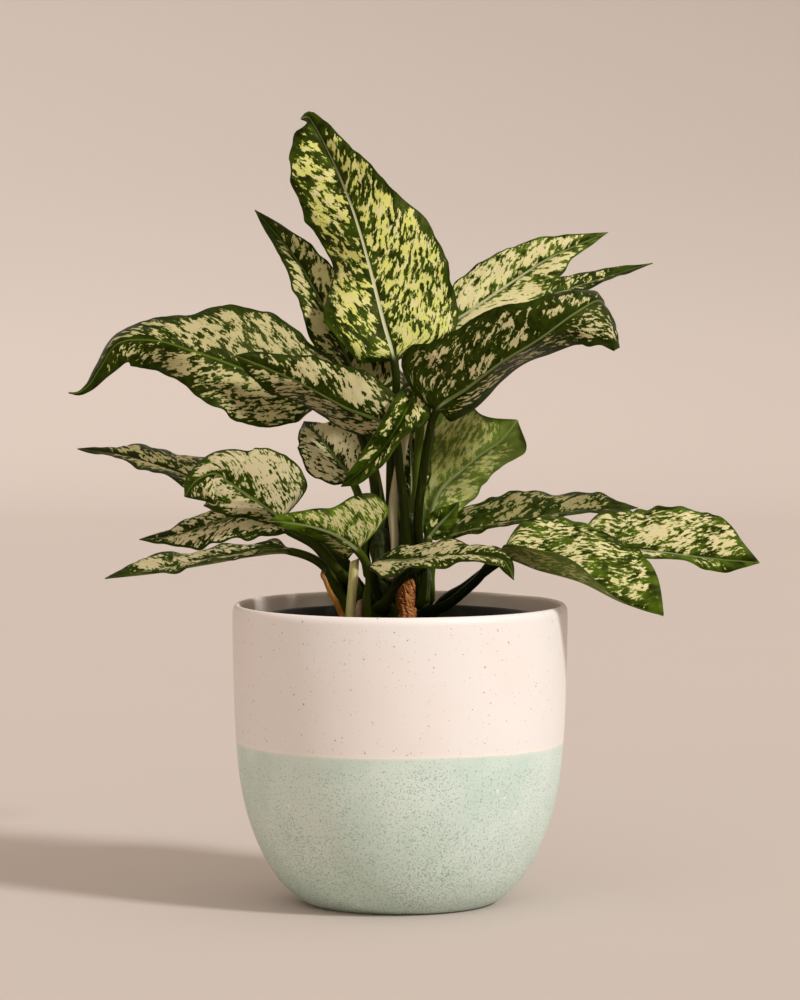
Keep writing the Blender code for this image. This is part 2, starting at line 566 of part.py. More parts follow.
def soil(holes: list[tuple[list, float]], material: bpy.types.Material) -> bpy.types.Object:
    """The soil that fills the grow pot, with a lumpy top and a plain hole for each stem."""
    dice = random.Random(SEED)
    bottom = POT_FLOOR + GAP + GROW_FLOOR + GAP
    turn = np.arange(ROUND_STEPS) * 2 * math.pi / ROUND_STEPS
    edge = grow_inner(SOIL_TOP) - 1.1 * GAP
    foot = grow_inner(bottom) - 1.1 * GAP
    circles = [(foot, bottom, 0.0), (edge, SOIL_TOP, 0.0)]
    circles += [(edge * share, SOIL_TOP, SOIL_RELIEF) for share in SOIL_RINGS[::-1]]
    points = [(radius * math.cos(a), radius * math.sin(a), height + dice.uniform(-1, 1) * relief)
              for radius, height, relief in circles for a in turn] + [(0, 0, SOIL_TOP)]
    faces = ring_faces(len(circles), ROUND_STEPS)[:-1]
    last = (len(circles) - 1) * ROUND_STEPS
    faces += [(last + k, last + (k + 1) % ROUND_STEPS, len(points) - 1) for k in range(ROUND_STEPS)]
    body = solid("soil", points, faces, material)
    bpy.context.view_layer.update()
    shape = bmesh.new()
    shape.from_mesh(body.data)
    bmesh.ops.triangulate(shape, faces=shape.faces)
    shape.to_mesh(body.data)
    shape.free()
    drills = []
    for ends, radius in holes:
        rings = tube_rings(ends, [radius] * len(ends), CANE_SIDES)
        drills.append(solid(f"hole_{len(drills)}", rings, ring_faces(len(ends), CANE_SIDES), material))
    cut_by(body, drills, "stem_holes")
    return body


def cane(stem: Cane, material: bpy.types.Material) -> bpy.types.Object:
    """A short upright stem with a ring at each old leaf scar and a blunt top."""
    heights = [SOIL_TOP - ROOT_DEPTH, SOIL_TOP]
    radii = [stem.radius, stem.radius]
    height = SOIL_TOP + 4
    while height < stem.top - 4:
        heights += [height, height + 3]
        radii += [stem.radius * CANE_RING, stem.radius * 0.97]
        height += CANE_STEP
    heights += [stem.top - 2, stem.top]
    radii += [stem.radius * 0.9, stem.radius * 0.55]
    rings = tube_rings([stem.centre(height) for height in heights], radii, CANE_SIDES)
    return solid(stem.name, rings, ring_faces(len(heights), CANE_SIDES), material)


def dry_sheath(material: bpy.types.Material) -> bpy.types.Object:
    """A crumpled papery sheath that wraps the front of a cane and narrows upwards."""
    dice = random.Random(SEED)
    stem = next(stem for stem in CANES if stem.name == SHEATH_CANE)
    middle = math.radians(sum(SHEATH_BEARINGS) / 2)
    half = math.radians(SHEATH_BEARINGS[1] - SHEATH_BEARINGS[0]) / 2
    rings = []
    for height, spread in zip(SHEATH_HEIGHTS, SHEATH_SPREAD):
        turns = middle + half * spread * np.linspace(-1, 1, SHEATH_COLUMNS)
        radii = [stem.radius * CANE_RING + SHEATH_STAND_OFF + dice.uniform(0, SHEATH_WRINKLE) for _ in turns]
        inside = [(radius * math.cos(a), radius * math.sin(a), 0) for a, radius in zip(turns, radii)]
        outside = [((radius + SHEATH_THICK) * math.cos(a), (radius + SHEATH_THICK) * math.sin(a), 0)
                   for a, radius in zip(turns, radii)]
        rings.append(stem.centre(height) + np.array(outside + inside[::-1]))
    return solid("dry_sheath", np.array(rings), ring_faces(len(rings), 2 * SHEATH_COLUMNS), material)


def main() -> None:
    """Clears the scene and builds every piece."""
    for obj in list(bpy.data.objects):
        bpy.data.objects.remove(obj, do_unlink=True)
    ceramic_pot()
    grow_pot()
    holes = []
    for stem in CANES:
        low = np.array([*stem.foot, SOIL_TOP - ROOT_DEPTH - GAP])
        holes.append(([low, low + [0, 0, ROOT_DEPTH + HOLE_OVERRUN]], stem.radius + HOLE_SLACK))
    for points, foot_radius, _, _ in STALKS.values():
        low, high = np.array(points[0]), np.array(points[1])
        line = unit(high - low)
        holes.append(([low - line * GAP, high], foot_radius + HOLE_SLACK))
    soil(holes, finish("potting_soil", (0.035, 0.025, 0.018), 0.95))
    bark = finish("green_cane", (0.05, 0.11, 0.03), 0.5)
    for stem in CANES:
        cane(stem, bark)
    for name, (points, foot_radius, top_radius, colour) in STALKS.items():
        radii = np.linspace(foot_radius, top_radius, len(points))
        radii[1] = foot_radius
        rings = tube_rings(points, radii, STALK_SIDES)
        solid(name, rings, ring_faces(len(points), STALK_SIDES), finish(name, colour, 0.6))
    dry_sheath(finish("dry_sheath", (0.42, 0.17, 0.07), 0.75))
    blade = finish("variegated_leaf", (0.30, 0.36, 0.12), 0.42)
    for leaf in LEAVES:
        rings = leaf_rings(leaf)
        solid(leaf.name, rings, leaf_faces(len(rings)), blade)


main()
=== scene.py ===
"""The looks of a potted aglaonema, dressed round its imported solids.

The tables hold millimetres and the meshes metres. The origin is the middle of the pot's flat
foot, +Z is up, +X is to the viewer's right and +Y points away from the viewer.
"""

import logging
import math
import random
from dataclasses import dataclass, field
from enum import Enum
from typing import NamedTuple

import bpy
import numpy as np
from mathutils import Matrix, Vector, noise


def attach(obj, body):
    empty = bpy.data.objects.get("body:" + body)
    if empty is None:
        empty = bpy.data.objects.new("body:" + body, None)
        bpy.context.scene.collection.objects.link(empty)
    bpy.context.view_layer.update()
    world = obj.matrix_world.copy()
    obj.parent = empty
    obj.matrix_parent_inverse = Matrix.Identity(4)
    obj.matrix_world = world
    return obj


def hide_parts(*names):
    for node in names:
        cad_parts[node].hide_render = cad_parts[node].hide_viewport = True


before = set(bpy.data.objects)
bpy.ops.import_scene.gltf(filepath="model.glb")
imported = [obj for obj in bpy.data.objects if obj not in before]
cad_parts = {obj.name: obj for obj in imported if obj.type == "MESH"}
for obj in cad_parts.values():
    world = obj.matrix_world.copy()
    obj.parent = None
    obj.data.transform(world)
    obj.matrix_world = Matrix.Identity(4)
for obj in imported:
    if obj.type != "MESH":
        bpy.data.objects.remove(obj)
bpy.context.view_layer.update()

LOG = logging.getLogger("aglaonema")
MM = 0.001
SEED = 11
TURN = 2 * math.pi

Point = tuple[float, float, float]
Outline = list[tuple[float, float]]
Colour = tuple[float, float, float]
Wire = bpy.types.NodeSocket | float | tuple


class Slot(Enum):
    """The record's material slots."""

    GLAZE = "glazed_pot"
    PLASTIC = "grow_pot_plastic"
    SOIL = "potting_soil"
    STEM = "green_stem"
    LEAF = "leaf"
    PALE_STALK = "pale_stalk"
    CUT_STUB = "cut_stub"
    DRY_STALK = "dry_stalk"
    DRY_SHEATH = "dry_sheath"


def smooth(knots: np.ndarray, values: np.ndarray, at: np.ndarray) -> np.ndarray:
    """Reads a smooth curve that passes through the given values at their knots.

    Args:
        knots: rising places of the values.
        values: one value or one row of values for each knot.
        at: the places to read.

    Returns:
        One row for each place.
    """
    values = np.asarray(values, float).reshape(len(knots), -1)
    if len(knots) == 1:
        return np.repeat(values, len(at), axis=0)
    steps = np.diff(knots)[:, None]
    slopes = np.diff(values, axis=0) / steps
    inner = (slopes[:-1] * steps[1:] + slopes[1:] * steps[:-1]) / (steps[:-1] + steps[1:])
    bends = np.vstack([slopes[:1], inner, slopes[-1:]])
    first = np.clip(np.searchsorted(knots, at, side="right") - 1, 0, len(knots) - 2)
    size = steps[first]
    u = ((at - np.asarray(knots)[first]) / size[:, 0])[:, None]
    return ((1 + 2 * u) * (1 - u) ** 2 * values[first] + u * (1 - u) ** 2 * size * bends[first]
            + u ** 2 * (3 - 2 * u) * values[first + 1] + u ** 2 * (u - 1) * size * bends[first + 1])


def unit(vectors: np.ndarray) -> np.ndarray:
    """The vectors at length 1."""
    return vectors / np.linalg.norm(vectors, axis=-1, keepdims=True)


def ease(share: np.ndarray) -> np.ndarray:
    """A share from 0 to 1 that starts and ends gently."""
    share = np.clip(share, 0, 1)
    return share * share * (3 - 2 * share)


def run_length(points: np.ndarray) -> np.ndarray:
    """How far along its line each point lies."""
    return np.concatenate([[0.0], np.cumsum(np.linalg.norm(np.diff(points, axis=0), axis=1))])


def lumps(points: np.ndarray, size: float, octaves: int = 3) -> np.ndarray:
    """Seeded noise from about -1 to 1 at each point.

    Args:
        points: places in millimetres.
        size: the size of the largest lumps.
        octaves: how many finer layers there are.

    Returns:
        One number for each point.
    """
    flat = np.asarray(points, float).reshape(-1, 3) / size
    found = [noise.fractal(Vector(place), 1.0, 2.0, octaves, noise_basis="PERLIN_ORIGINAL")
             for place in flat]
    return np.array(found).reshape(np.asarray(points).shape[:-1])


class Workbench:
    """Mesh work that several pieces share."""

    @staticmethod
    def clear() -> None:
        """Leaves nothing selected."""
        bpy.ops.object.select_all(action="DESELECT")

    @staticmethod
    def spots(obj: bpy.types.Object) -> np.ndarray:
        """The places of a piece's points, in millimetres."""
        return np.array([vertex.co for vertex in obj.data.vertices]) / MM

    @staticmethod
    def move(obj: bpy.types.Object, spots: np.ndarray) -> None:
        """Moves a piece's points to the given places, in millimetres."""
        obj.data.vertices.foreach_set("co", (spots * MM).astype(np.float32).ravel())
        obj.data.update()

    @staticmethod
    def note(obj: bpy.types.Object, name: str, values: np.ndarray) -> None:
        """Keeps a number or a vector on each point, for the material to read.

        Args:
            obj: the piece.
            name: the note's name.
            values: one number for each point, or rows of points with a vector for each.
        """
        kind, key = ("FLOAT", "value") if values.ndim == 1 else ("FLOAT_VECTOR", "vector")
        layer = obj.data.attributes.get(name) or obj.data.attributes.new(name, kind, "POINT")
        layer.data.foreach_set(key, values.astype(np.float32).ravel())

    @staticmethod
    def close_up(threshold: float = 1e-6) -> None:
        """Merges what meets in the active object, and turns every face outwards.

        Args:
            threshold: how near points are that become one, in metres.
        """
        bpy.ops.object.mode_set(mode="EDIT")
        bpy.ops.mesh.select_all(action="SELECT")
        bpy.ops.mesh.remove_doubles(threshold=threshold)
        bpy.ops.mesh.normals_make_consistent(inside=False)
        bpy.ops.object.mode_set(mode="OBJECT")

    @classmethod
    def turned(cls, name: str, outline: Outline, steps: int) -> bpy.types.Object:
        """Spins an outline round the Z axis.

        Args:
            name: the piece's name.
            outline: radius and height of each point, in millimetres.
            steps: how many steps make the full turn.

        Returns:
            The closed piece.
        """
        cls.clear()
        start = (outline[0][0] * MM, 0.0, outline[0][1] * MM)
        bpy.ops.mesh.primitive_plane_add(size=MM, location=start)
        obj = bpy.context.object
        obj.name = name
        bpy.ops.object.mode_set(mode="EDIT")
        bpy.ops.mesh.select_all(action="SELECT")
        bpy.ops.mesh.merge(type="CENTER")
        for (wide, high), (next_wide, next_high) in zip(outline, outline[1:]):
            step = ((next_wide - wide) * MM, 0.0, (next_high - high) * MM)
            bpy.ops.mesh.extrude_region_move(TRANSFORM_OT_translate={"value": step})
        bpy.ops.mesh.select_all(action="SELECT")
        bpy.ops.mesh.spin(steps=steps, angle=TURN, center=(0, 0, 0), axis=(0, 0, 1))
        bpy.ops.object.mode_set(mode="OBJECT")
        bpy.ops.object.transform_apply(location=True, rotation=True, scale=True)
        cls.close_up(threshold=1e-5)
        return obj

    @classmethod
    def wrapped(cls, name: str, sections: np.ndarray,
                notes: dict[str, np.ndarray] | None = None) -> bpy.types.Object:
        """Wraps a grid into a closed skin over a row of cross-sections.

        Args:
            name: the piece's name.
            sections: rows of points round each section, in millimetres.
            notes: vectors to keep on the points, as attributes, by name.

        Returns:
            The closed piece, drawn to a point at both ends.
        """
        ends = [np.repeat(row.mean(axis=0)[None], len(row), axis=0) for row in (sections[0], sections[-1])]
        skin = np.concatenate([ends[0][None], sections, ends[1][None]])
        skin = np.concatenate([skin, skin[:, :1]], axis=1)
        rows, count = skin.shape[:2]
        cls.clear()
        bpy.ops.mesh.primitive_grid_add(x_subdivisions=count - 1, y_subdivisions=rows - 1, size=1,
                                        calc_uvs=True)
        obj = bpy.context.object
        obj.name = name
        cls.move(obj, skin)
        for note, values in (notes or {}).items():
            padded = np.concatenate([values[:1], values, values[-1:]])
            cls.note(obj, note, np.concatenate([padded, padded[:, :1]], axis=1))
        bpy.ops.object.transform_apply(location=True, rotation=True, scale=True)
        bpy.ops.object.mode_set(mode="EDIT")
        bpy.ops.mesh.select_all(action="SELECT")
        bpy.ops.mesh.remove_doubles(threshold=1e-6)
        bpy.ops.object.mode_set(mode="OBJECT")
        return obj

    @classmethod
    def copies(cls, name: str, pattern: bpy.types.Object, places: list[tuple[Vector, Vector, Vector]],
               dice: random.Random) -> bpy.types.Object:
        """Makes one piece of many copies of a pattern, which becomes the first of them.

        Args:
            name: the piece's name.
            pattern: the object that is repeated.
            places: middle, size and turn of each copy, in millimetres and radians.
            dice: gives each copy its own shade, kept as an attribute.

        Returns:
            The piece.
        """
        cls.clear()
        for number, (middle, size, turn) in enumerate(places):
            copy = pattern
            if number:
                copy = pattern.copy()
                copy.data = pattern.data.copy()
                bpy.context.scene.collection.objects.link(copy)
            copy.location, copy.scale, copy.rotation_euler = middle * MM, size * MM, turn
            cls.note(copy, "shade", np.full(len(copy.data.vertices), dice.random()))
            copy.select_set(True)
        bpy.context.view_layer.objects.active = pattern
        bpy.ops.object.join()
        bpy.ops.object.transform_apply(location=True, rotation=True, scale=True)
        pattern.name = name
        return pattern

    @classmethod
    def smoothed(cls, obj: bpy.types.Object, degrees: float = 180.0) -> None:
        """Shades a piece smooth.

        Args:
            obj: the piece.
            degrees: edges that turn by more than this stay sharp.
        """
        cls.clear()
        obj.select_set(True)
        bpy.context.view_layer.objects.active = obj
        if degrees < 180:
            bpy.ops.object.shade_smooth_by_angle(angle=math.radians(degrees))
        else:
            bpy.ops.object.shade_smooth()


def place(obj: bpy.types.Object, material: bpy.types.Material, slot: Slot, *nodes: str) -> None:
    """Dresses a finished piece and seats it on the frame.

    Args:
        obj: the piece, in place.
        material: its finish.
        slot: the record's slot that the finish belongs to; not used.
        nodes: the solids that it stands for.
    """
    obj.data.materials.clear()
    obj.data.materials.append(material)
    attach(obj, "root")
    if nodes:
        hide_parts(*nodes)
    LOG.info("%s: %d faces", obj.name, len(obj.data.polygons))


class Wiring:
    """Places and joins the nodes of one node tree."""

    def __init__(self, tree: bpy.types.NodeTree) -> None:
        """Keeps the tree that the nodes go into."""
        self.tree = tree

    def add(self, kind: str, inputs: list | dict | tuple = (), **settings: object) -> bpy.types.Node:
        """Adds one node.

        Args:
            kind: the node's type, without the prefix that all of them have.
            inputs: values or sockets, by place or by name; None leaves an input alone.
            settings: the node's own options.

        Returns:
            The node.
        """
        node = self.tree.nodes.new("ShaderNode" + kind)
        for name, value in settings.items():
            setattr(node, name, value)
        pairs = inputs.items() if isinstance(inputs, dict) else enumerate(inputs)
        for key, value in pairs:
            if isinstance(value, bpy.types.NodeSocket):
                self.tree.links.new(value, node.inputs[key])
            elif value is not None:
                node.inputs[key].default_value = value
        return node

    def group(self, tree: bpy.types.NodeTree, **inputs: Wire) -> bpy.types.Node:
        """Places a shared group with its own values."""
        return self.add("Group", inputs, node_tree=tree)

    def math(self, operation: str, *values: Wire) -> bpy.types.NodeSocket:
        """The result of one calculation."""
        return self.add("Math", list(values), operation=operation).outputs[0]

    def times(self, first: Wire, second: Wire) -> bpy.types.NodeSocket:
        """Two values multiplied."""
        return self.math("MULTIPLY", first, second)

    def scaled(self, value: Wire, factor: Wire, plus: Wire) -> bpy.types.NodeSocket:
        """A value times a factor, plus another value."""
        return self.math("MULTIPLY_ADD", value, factor, plus)

    def remap(self, value: Wire, low: Wire, high: Wire, start: Wire = 0.0,
              end: Wire = 1.0) -> bpy.types.NodeSocket:
        """A value eased from one range to another, and held at its ends."""
        return self.add("MapRange", [value, low, high, start, end],
                        interpolation_type="SMOOTHSTEP").outputs[0]

    def mix(self, share: Wire, first: Wire, second: Wire) -> bpy.types.NodeSocket:
        """Two colours mixed by a share."""
        ends = [(*end, 1.0) if isinstance(end, tuple) else end for end in (first, second)]
        return self.add("Mix", {0: share, 6: ends[0], 7: ends[1]}, data_type="RGBA").outputs[2]

    def noise(self, vector: Wire, scale: Wire, detail: float = 2.0,
              rough: float = 0.5) -> bpy.types.NodeSocket:
        """Smooth noise from 0 to 1."""
        inputs = {"Vector": vector, "Scale": scale, "Detail": detail, "Roughness": rough}
        return self.add("TexNoise", inputs).outputs[0]

    def stretched(self, vector: Wire, scale: Point) -> bpy.types.NodeSocket:
        """A vector scaled on each axis."""
        return self.add("Mapping", {"Vector": vector, "Scale": scale}).outputs[0]

    def spot(self) -> bpy.types.NodeSocket:
        """The place on the piece, in metres."""
        return self.add("TexCoord").outputs["Object"]

    def note(self, name: str) -> bpy.types.Node:
        """An attribute of the mesh."""
        return self.add("Attribute", attribute_name=name, attribute_type="GEOMETRY")

    def parts(self, vector: Wire) -> tuple[bpy.types.NodeSocket, ...]:
        """The three numbers of a vector."""
        return tuple(self.add("SeparateXYZ", [vector]).outputs)


class SharedGroups:
    """Effects that more than one finish uses, each built once."""

    wobble_scale: float = 2600.0
    wobble_reach: float = 0.00025
    smallest: float = 0.35
    fine_fibre: float = 3.7
    fine_share: float = 0.45

    def __init__(self) -> None:
        """Builds the groups."""
        self.speckle = self._speckle()
        self.fibre = self._fibre()
        self.grain = self._grain()

    @staticmethod
    def _tree(name: str, inputs: dict[str, str], outputs: list[str]) -> tuple[Wiring, dict, bpy.types.Node]:
        """An empty group with its sockets.

        Args:
            name: the group's name.
            inputs: the kind of each input socket, Vector or Float, by name.
            outputs: the names of its outputs, all of them numbers.

        Returns:
            The group's wiring, its input sockets by name, and its output node.
        """
        tree = bpy.data.node_groups.new(name, "ShaderNodeTree")
        for socket, kind in inputs.items():
            tree.interface.new_socket(name=socket, in_out="INPUT", socket_type="NodeSocket" + kind)
        for socket in outputs:
            tree.interface.new_socket(name=socket, in_out="OUTPUT", socket_type="NodeSocketFloat")
        start = tree.nodes.new("NodeGroupInput")
        end = tree.nodes.new("NodeGroupOutput")
        return Wiring(tree), dict(start.outputs.items()), end

    def _speckle(self) -> bpy.types.NodeTree:
        """Round specks of uneven size, each in its own cell, of which only a share is filled.

        Returns:
            The group.
        """
        inputs = {"Vector": "Vector", "Scale": "Float", "Radius": "Float", "Share": "Float"}
        wires, given, end = self._tree("speckle", inputs, ["Mask"])
        wobble = wires.noise(given["Vector"], self.wobble_scale, 1.0)
        shift = wires.add("VectorMath", [wobble, (self.wobble_reach,) * 3], operation="MULTIPLY").outputs[0]
        moved = wires.add("VectorMath", [given["Vector"], shift], operation="ADD").outputs[0]
        cells = wires.add("TexVoronoi", {"Vector": moved, "Scale": given["Scale"]})
        random_size, random_share = wires.parts(cells.outputs["Color"])[:2]
        radius = wires.times(given["Radius"], wires.remap(random_size, 0.0, 1.0, self.smallest, 1.0))
        edge = wires.math("DIVIDE", cells.outputs["Distance"], radius)
        inside = wires.remap(edge, 0.75, 1.0, 1.0, 0.0)
        filled = wires.math("LESS_THAN", random_share, given["Share"])
        wires.tree.links.new(wires.times(inside, filled), end.inputs["Mask"])
        return wires.tree

    def _fibre(self) -> bpy.types.NodeTree:
        """Long streaks in two sizes, for stems and dry tissue.

        Returns:
            The group.
        """
        inputs = {"Vector": "Vector", "Scale": "Float", "Stretch": "Float"}
        wires, given, end = self._tree("fibre", inputs, ["Value"])
        flat = wires.add("CombineXYZ", [1.0, 1.0, given["Stretch"]]).outputs[0]
        drawn = wires.add("VectorMath", [given["Vector"], flat], operation="MULTIPLY").outputs[0]
        coarse = wires.noise(drawn, given["Scale"])
        fine = wires.noise(drawn, wires.times(given["Scale"], self.fine_fibre), 3.0)
        both = wires.scaled(fine, self.fine_share, wires.times(coarse, 1.0 - self.fine_share))
        wires.tree.links.new(both, end.inputs["Value"])
        return wires.tree

    def _grain(self) -> bpy.types.NodeTree:
        """Fine pits and bumps for a bump node, from soft to sharp.

        Returns:
            The group.
        """
        inputs = {"Vector": "Vector", "Scale": "Float", "Sharp": "Float"}
        wires, given, end = self._tree("grain", inputs, ["Value"])
        soft = wires.noise(given["Vector"], given["Scale"], 4.0, 0.6)
        cells = wires.add("TexVoronoi", {"Vector": given["Vector"], "Scale": given["Scale"]})
        pits = wires.times(cells.outputs["Distance"], given["Sharp"])
        wires.tree.links.new(wires.math("ADD", soft, pits), end.inputs["Value"])
        return wires.tree


@dataclass(frozen=True)
class Specks:
    """One kind of speck. Its scale is the number of cells in a metre, its radius a share of a cell."""

    scale: float
    radius: float
    share: float
    colour: Colour
    strength: float


@dataclass(frozen=True)
class Finish:
    """What every finish has: a name and the shared groups it is wired from."""

    name: str
    shared: SharedGroups

    def start(self, **values: float | tuple) -> tuple[Wiring, bpy.types.Node]:
        """Makes the material.

        Args:
            values: numbers and colours set on the shader's own sockets, with _ for a space.

        Returns:
            The wiring and the shader.
        """
        material = bpy.data.materials.new(self.name)
        material.use_nodes = True
        shader = material.node_tree.nodes["Principled BSDF"]
        for name, value in values.items():
            shader.inputs[name.replace("_", " ")].default_value = value
        return Wiring(material.node_tree), shader

    def specked(self, wires: Wiring, spot: Wire, colour: Wire, specks: Specks,
                crowd: Wire = 1.0) -> bpy.types.NodeSocket:
        """Lays specks over a colour.

        Args:
            wires: the material's wiring.
            spot: the place on the piece.
            colour: what lies under the specks.
            specks: their kind.
            crowd: how full of specks the place is, from 0 to 1.

        Returns:
            The specked colour.
        """
        found = wires.group(self.shared.speckle, Vector=spot, Scale=specks.scale, Radius=specks.radius,
                            Share=wires.times(crowd, specks.share))
        return wires.mix(wires.times(found.outputs["Mask"], specks.strength), colour, specks.colour)

    def end(self, wires: Wiring, shader: bpy.types.Node, colour: Wire, roughness: Wire, height: Wire,
            depth: float) -> bpy.types.Material:
        """Joins the patterns to the shader.

        Args:
            wires: the material's wiring.
            shader: its shader.
            colour: the base colour's socket.
            roughness: the roughness's socket.
            height: the relief's socket.
            depth: how deep the relief is, in metres.

        Returns:
            The material.
        """
        links = wires.tree.links
        links.new(colour, shader.inputs["Base Color"])
        links.new(roughness, shader.inputs["Roughness"])
        bump = wires.add("Bump", {"Height": height, "Distance": depth, "Strength": 1.0})
        links.new(bump.outputs[0], shader.inputs["Normal"])
        return bpy.data.materials[self.name]


class GlazeWiring(Wiring):
    """The wiring of the pot's glaze, with what it has to know about each place.

    The mesh's note inside is 1 on the inner wall and 0 elsewhere.
    """

    def __init__(self, tree: bpy.types.NodeTree, line: float) -> None:
        """Measures each place from the line between the glazes.

        Args:
            tree: the material's node tree.
            line: the line's height in millimetres.
        """
        super().__init__(tree)
        self.place = self.spot()
        self.height = self.parts(self.place)[2]
        self.inside = self.note("inside").outputs["Fac"]
        self.outside = self.math("SUBTRACT", 1.0, self.inside)
        sway = self.scaled(self.noise(self.place, 14.0), 0.0022, -0.0011)
        ragged = self.scaled(self.noise(self.place, 600.0, 3.0), 0.0007, sway)
        self.below = self.math("SUBTRACT", self.math("ADD", line * MM, ragged), self.height)
        self.is_sage = self.times(self.remap(self.below, -0.0003, 0.0004), self.outside)
        self.cloud = self.noise(self.place, 22.0, 3.0, 0.6)


@dataclass(frozen=True)
class TwoToneGlaze(Finish):
    """Cream glaze with sparse brown specks over sage glaze with dense green flecks."""

    line: float = 92.0
    cream: Colour = (0.82, 0.785, 0.755)
    cream_warm: Colour = (0.82, 0.755, 0.715)
    cream_edge: Colour = (0.86, 0.81, 0.72)
    # The inner wall's cream glaze, made lighter than the outer cream as painted light on the inner wall.
    lining_with_painted_light: Colour = (0.95, 0.84, 0.75)
    sage: Colour = (0.57, 0.70, 0.615)
    sage_pale: Colour = (0.665, 0.76, 0.69)
    fleck: Colour = (0.25, 0.38, 0.305)
    brown: Colour = (0.20, 0.12, 0.09)
    rust: Colour = (0.50, 0.36, 0.30)
    clay: Colour = (0.62, 0.54, 0.45)
    cream_specks: tuple[Specks, ...] = (
        Specks(420.0, 0.21, 0.20, brown, 0.80), Specks(300.0, 0.21, 0.30, rust, 0.55),
        Specks(560.0, 0.28, 0.34, rust, 0.45), Specks(230.0, 0.15, 0.13, brown, 0.85))
    sage_specks: tuple[Specks, ...] = (
        Specks(900.0, 0.32, 0.30, fleck, 0.50), Specks(260.0, 0.32, 0.03, cream_edge, 0.80))

    def upper(self, pot: GlazeWiring) -> bpy.types.NodeSocket:
        """The cream glaze with its specks, paler where it gathers over the line.

        Args:
            pot: the material's wiring.

        Returns:
            Its colour.
        """
        cloud = pot.remap(pot.noise(pot.place, 16.0, 3.0), 0.35, 0.7)
        colour = pot.mix(cloud, self.cream, self.cream_warm)
        crowd = pot.remap(pot.noise(pot.place, 26.0), 0.35, 0.65, 0.35, 1.0)
        for specks in self.cream_specks:
            colour = self.specked(pot, pot.place, colour, specks, crowd)
        rim = pot.times(pot.remap(pot.below, -0.0030, -0.0006, 0.0, 0.6), pot.outside)
        return pot.mix(rim, colour, self.cream_edge)

    def lower(self, pot: GlazeWiring) -> bpy.types.NodeSocket:
        """The sage glaze with its flecks, which are sparse just under the line.

        Args:
            pot: the material's wiring.

        Returns:
            Its colour.
        """
        colour = pot.mix(pot.remap(pot.cloud, 0.35, 0.65), self.sage, self.sage_pale)
        grains = pot.scaled(pot.noise(pot.place, 34.0, 3.0), 0.13, pot.noise(pot.place, 1050.0, 3.0, 0.65))
        bar = pot.scaled(pot.remap(pot.below, 0.001, 0.012), -0.06, 0.70)
        bar = pot.math("SUBTRACT", bar, pot.remap(pot.below, 0.025, 0.08, 0.0, 0.03))
        dots = pot.remap(pot.math("SUBTRACT", grains, bar), -0.010, 0.032, 0.0, 0.82)
        colour = pot.mix(dots, colour, self.fleck)
        for specks in self.sage_specks:
            colour = self.specked(pot, pot.place, colour, specks)
        edge = pot.times(pot.remap(pot.below, 0.0, 0.0022, 0.35, 0.0), pot.is_sage)
        return pot.mix(edge, colour, self.cream)

    def material(self) -> bpy.types.Material:
        """Makes the pot's glaze, which leaves the underside bare and paints light on the inner wall with a
        lighter cream.

        Returns:
            The material.
        """
        wires, shader = self.start(IOR=1.5, Coat_Roughness=0.12)
        pot = GlazeWiring(wires.tree, self.line)
        glaze = pot.mix(pot.is_sage, self.upper(pot), self.lower(pot))
        bare = pot.remap(pot.height, 0.0001, 0.0006, 1.0, 0.0)
        # Painted light: the inner wall takes the lighter lining cream.
        colour = pot.mix(bare, pot.mix(pot.inside, glaze, self.lining_with_painted_light), self.clay)
        rough = pot.scaled(pot.inside, 0.1, pot.remap(pot.cloud, 0.3, 0.7, 0.42, 0.52))
        rough = pot.scaled(bare, 0.3, rough)
        grain = pot.group(self.shared.grain, Vector=pot.place, Scale=450.0, Sharp=0.15).outputs[0]
        relief = pot.scaled(pot.noise(pot.place, 60.0), 0.9, pot.times(grain, 0.22))
        relief = pot.scaled(pot.remap(pot.below, -0.0006, 0.0006), 0.35, relief)
        return self.end(pot, shader, colour, rough, relief, 0.00018)


@dataclass(frozen=True)
class MouldedPlastic(Finish):
    """Thin black plastic with a fine satin grain and some soil dust."""

    colour: Colour = (0.007, 0.009, 0.005)
    dust: Colour = (0.05, 0.038, 0.025)

    def material(self) -> bpy.types.Material:
        """Makes the grow pot's finish.

        Returns:
            The material.
        """
        wires, shader = self.start(Specular_IOR_Level=0.22)
        spot = wires.spot()
        dust = wires.remap(wires.noise(spot, 90.0, 4.0, 0.65), 0.52, 0.75, 0.0, 0.5)
        colour = wires.mix(dust, self.colour, self.dust)
        gloss = wires.scaled(dust, 0.45, 0.45)
        grain = wires.group(self.shared.grain, Vector=spot, Scale=1500.0, Sharp=0.4).outputs[0]
        return self.end(wires, shader, colour, gloss, grain, 0.00006)


@dataclass(frozen=True)
class Earth(Finish):
    """Dark peat, bark or perlite, each crumb in its own shade."""

    dark: Colour = (0.012, 0.008, 0.005)
    light: Colour = (0.07, 0.042, 0.025)
    roughness: float = 0.95
    depth: float = 0.0006
    by_crumb: bool = False

    def material(self) -> bpy.types.Material:
        """Makes the finish of the soil, or of one kind of crumb in it.

        Returns:
            The material.
        """
        wires, shader = self.start()
        spot = wires.spot()
        mottle = wires.noise(spot, 420.0, 5.0, 0.7)
        if self.by_crumb:
            shade = wires.note("shade").outputs["Fac"]
            mottle = wires.scaled(shade, 0.6, wires.scaled(mottle, 0.8, -0.2))
        colour = wires.mix(wires.remap(mottle, 0.25, 0.8), self.dark, self.light)
        rough = wires.remap(mottle, 0.2, 0.8, self.roughness - 0.15, self.roughness)
        grain = wires.group(self.shared.grain, Vector=spot, Scale=1300.0, Sharp=0.8).outputs[0]
        return self.end(wires, shader, colour, rough, grain, self.depth)


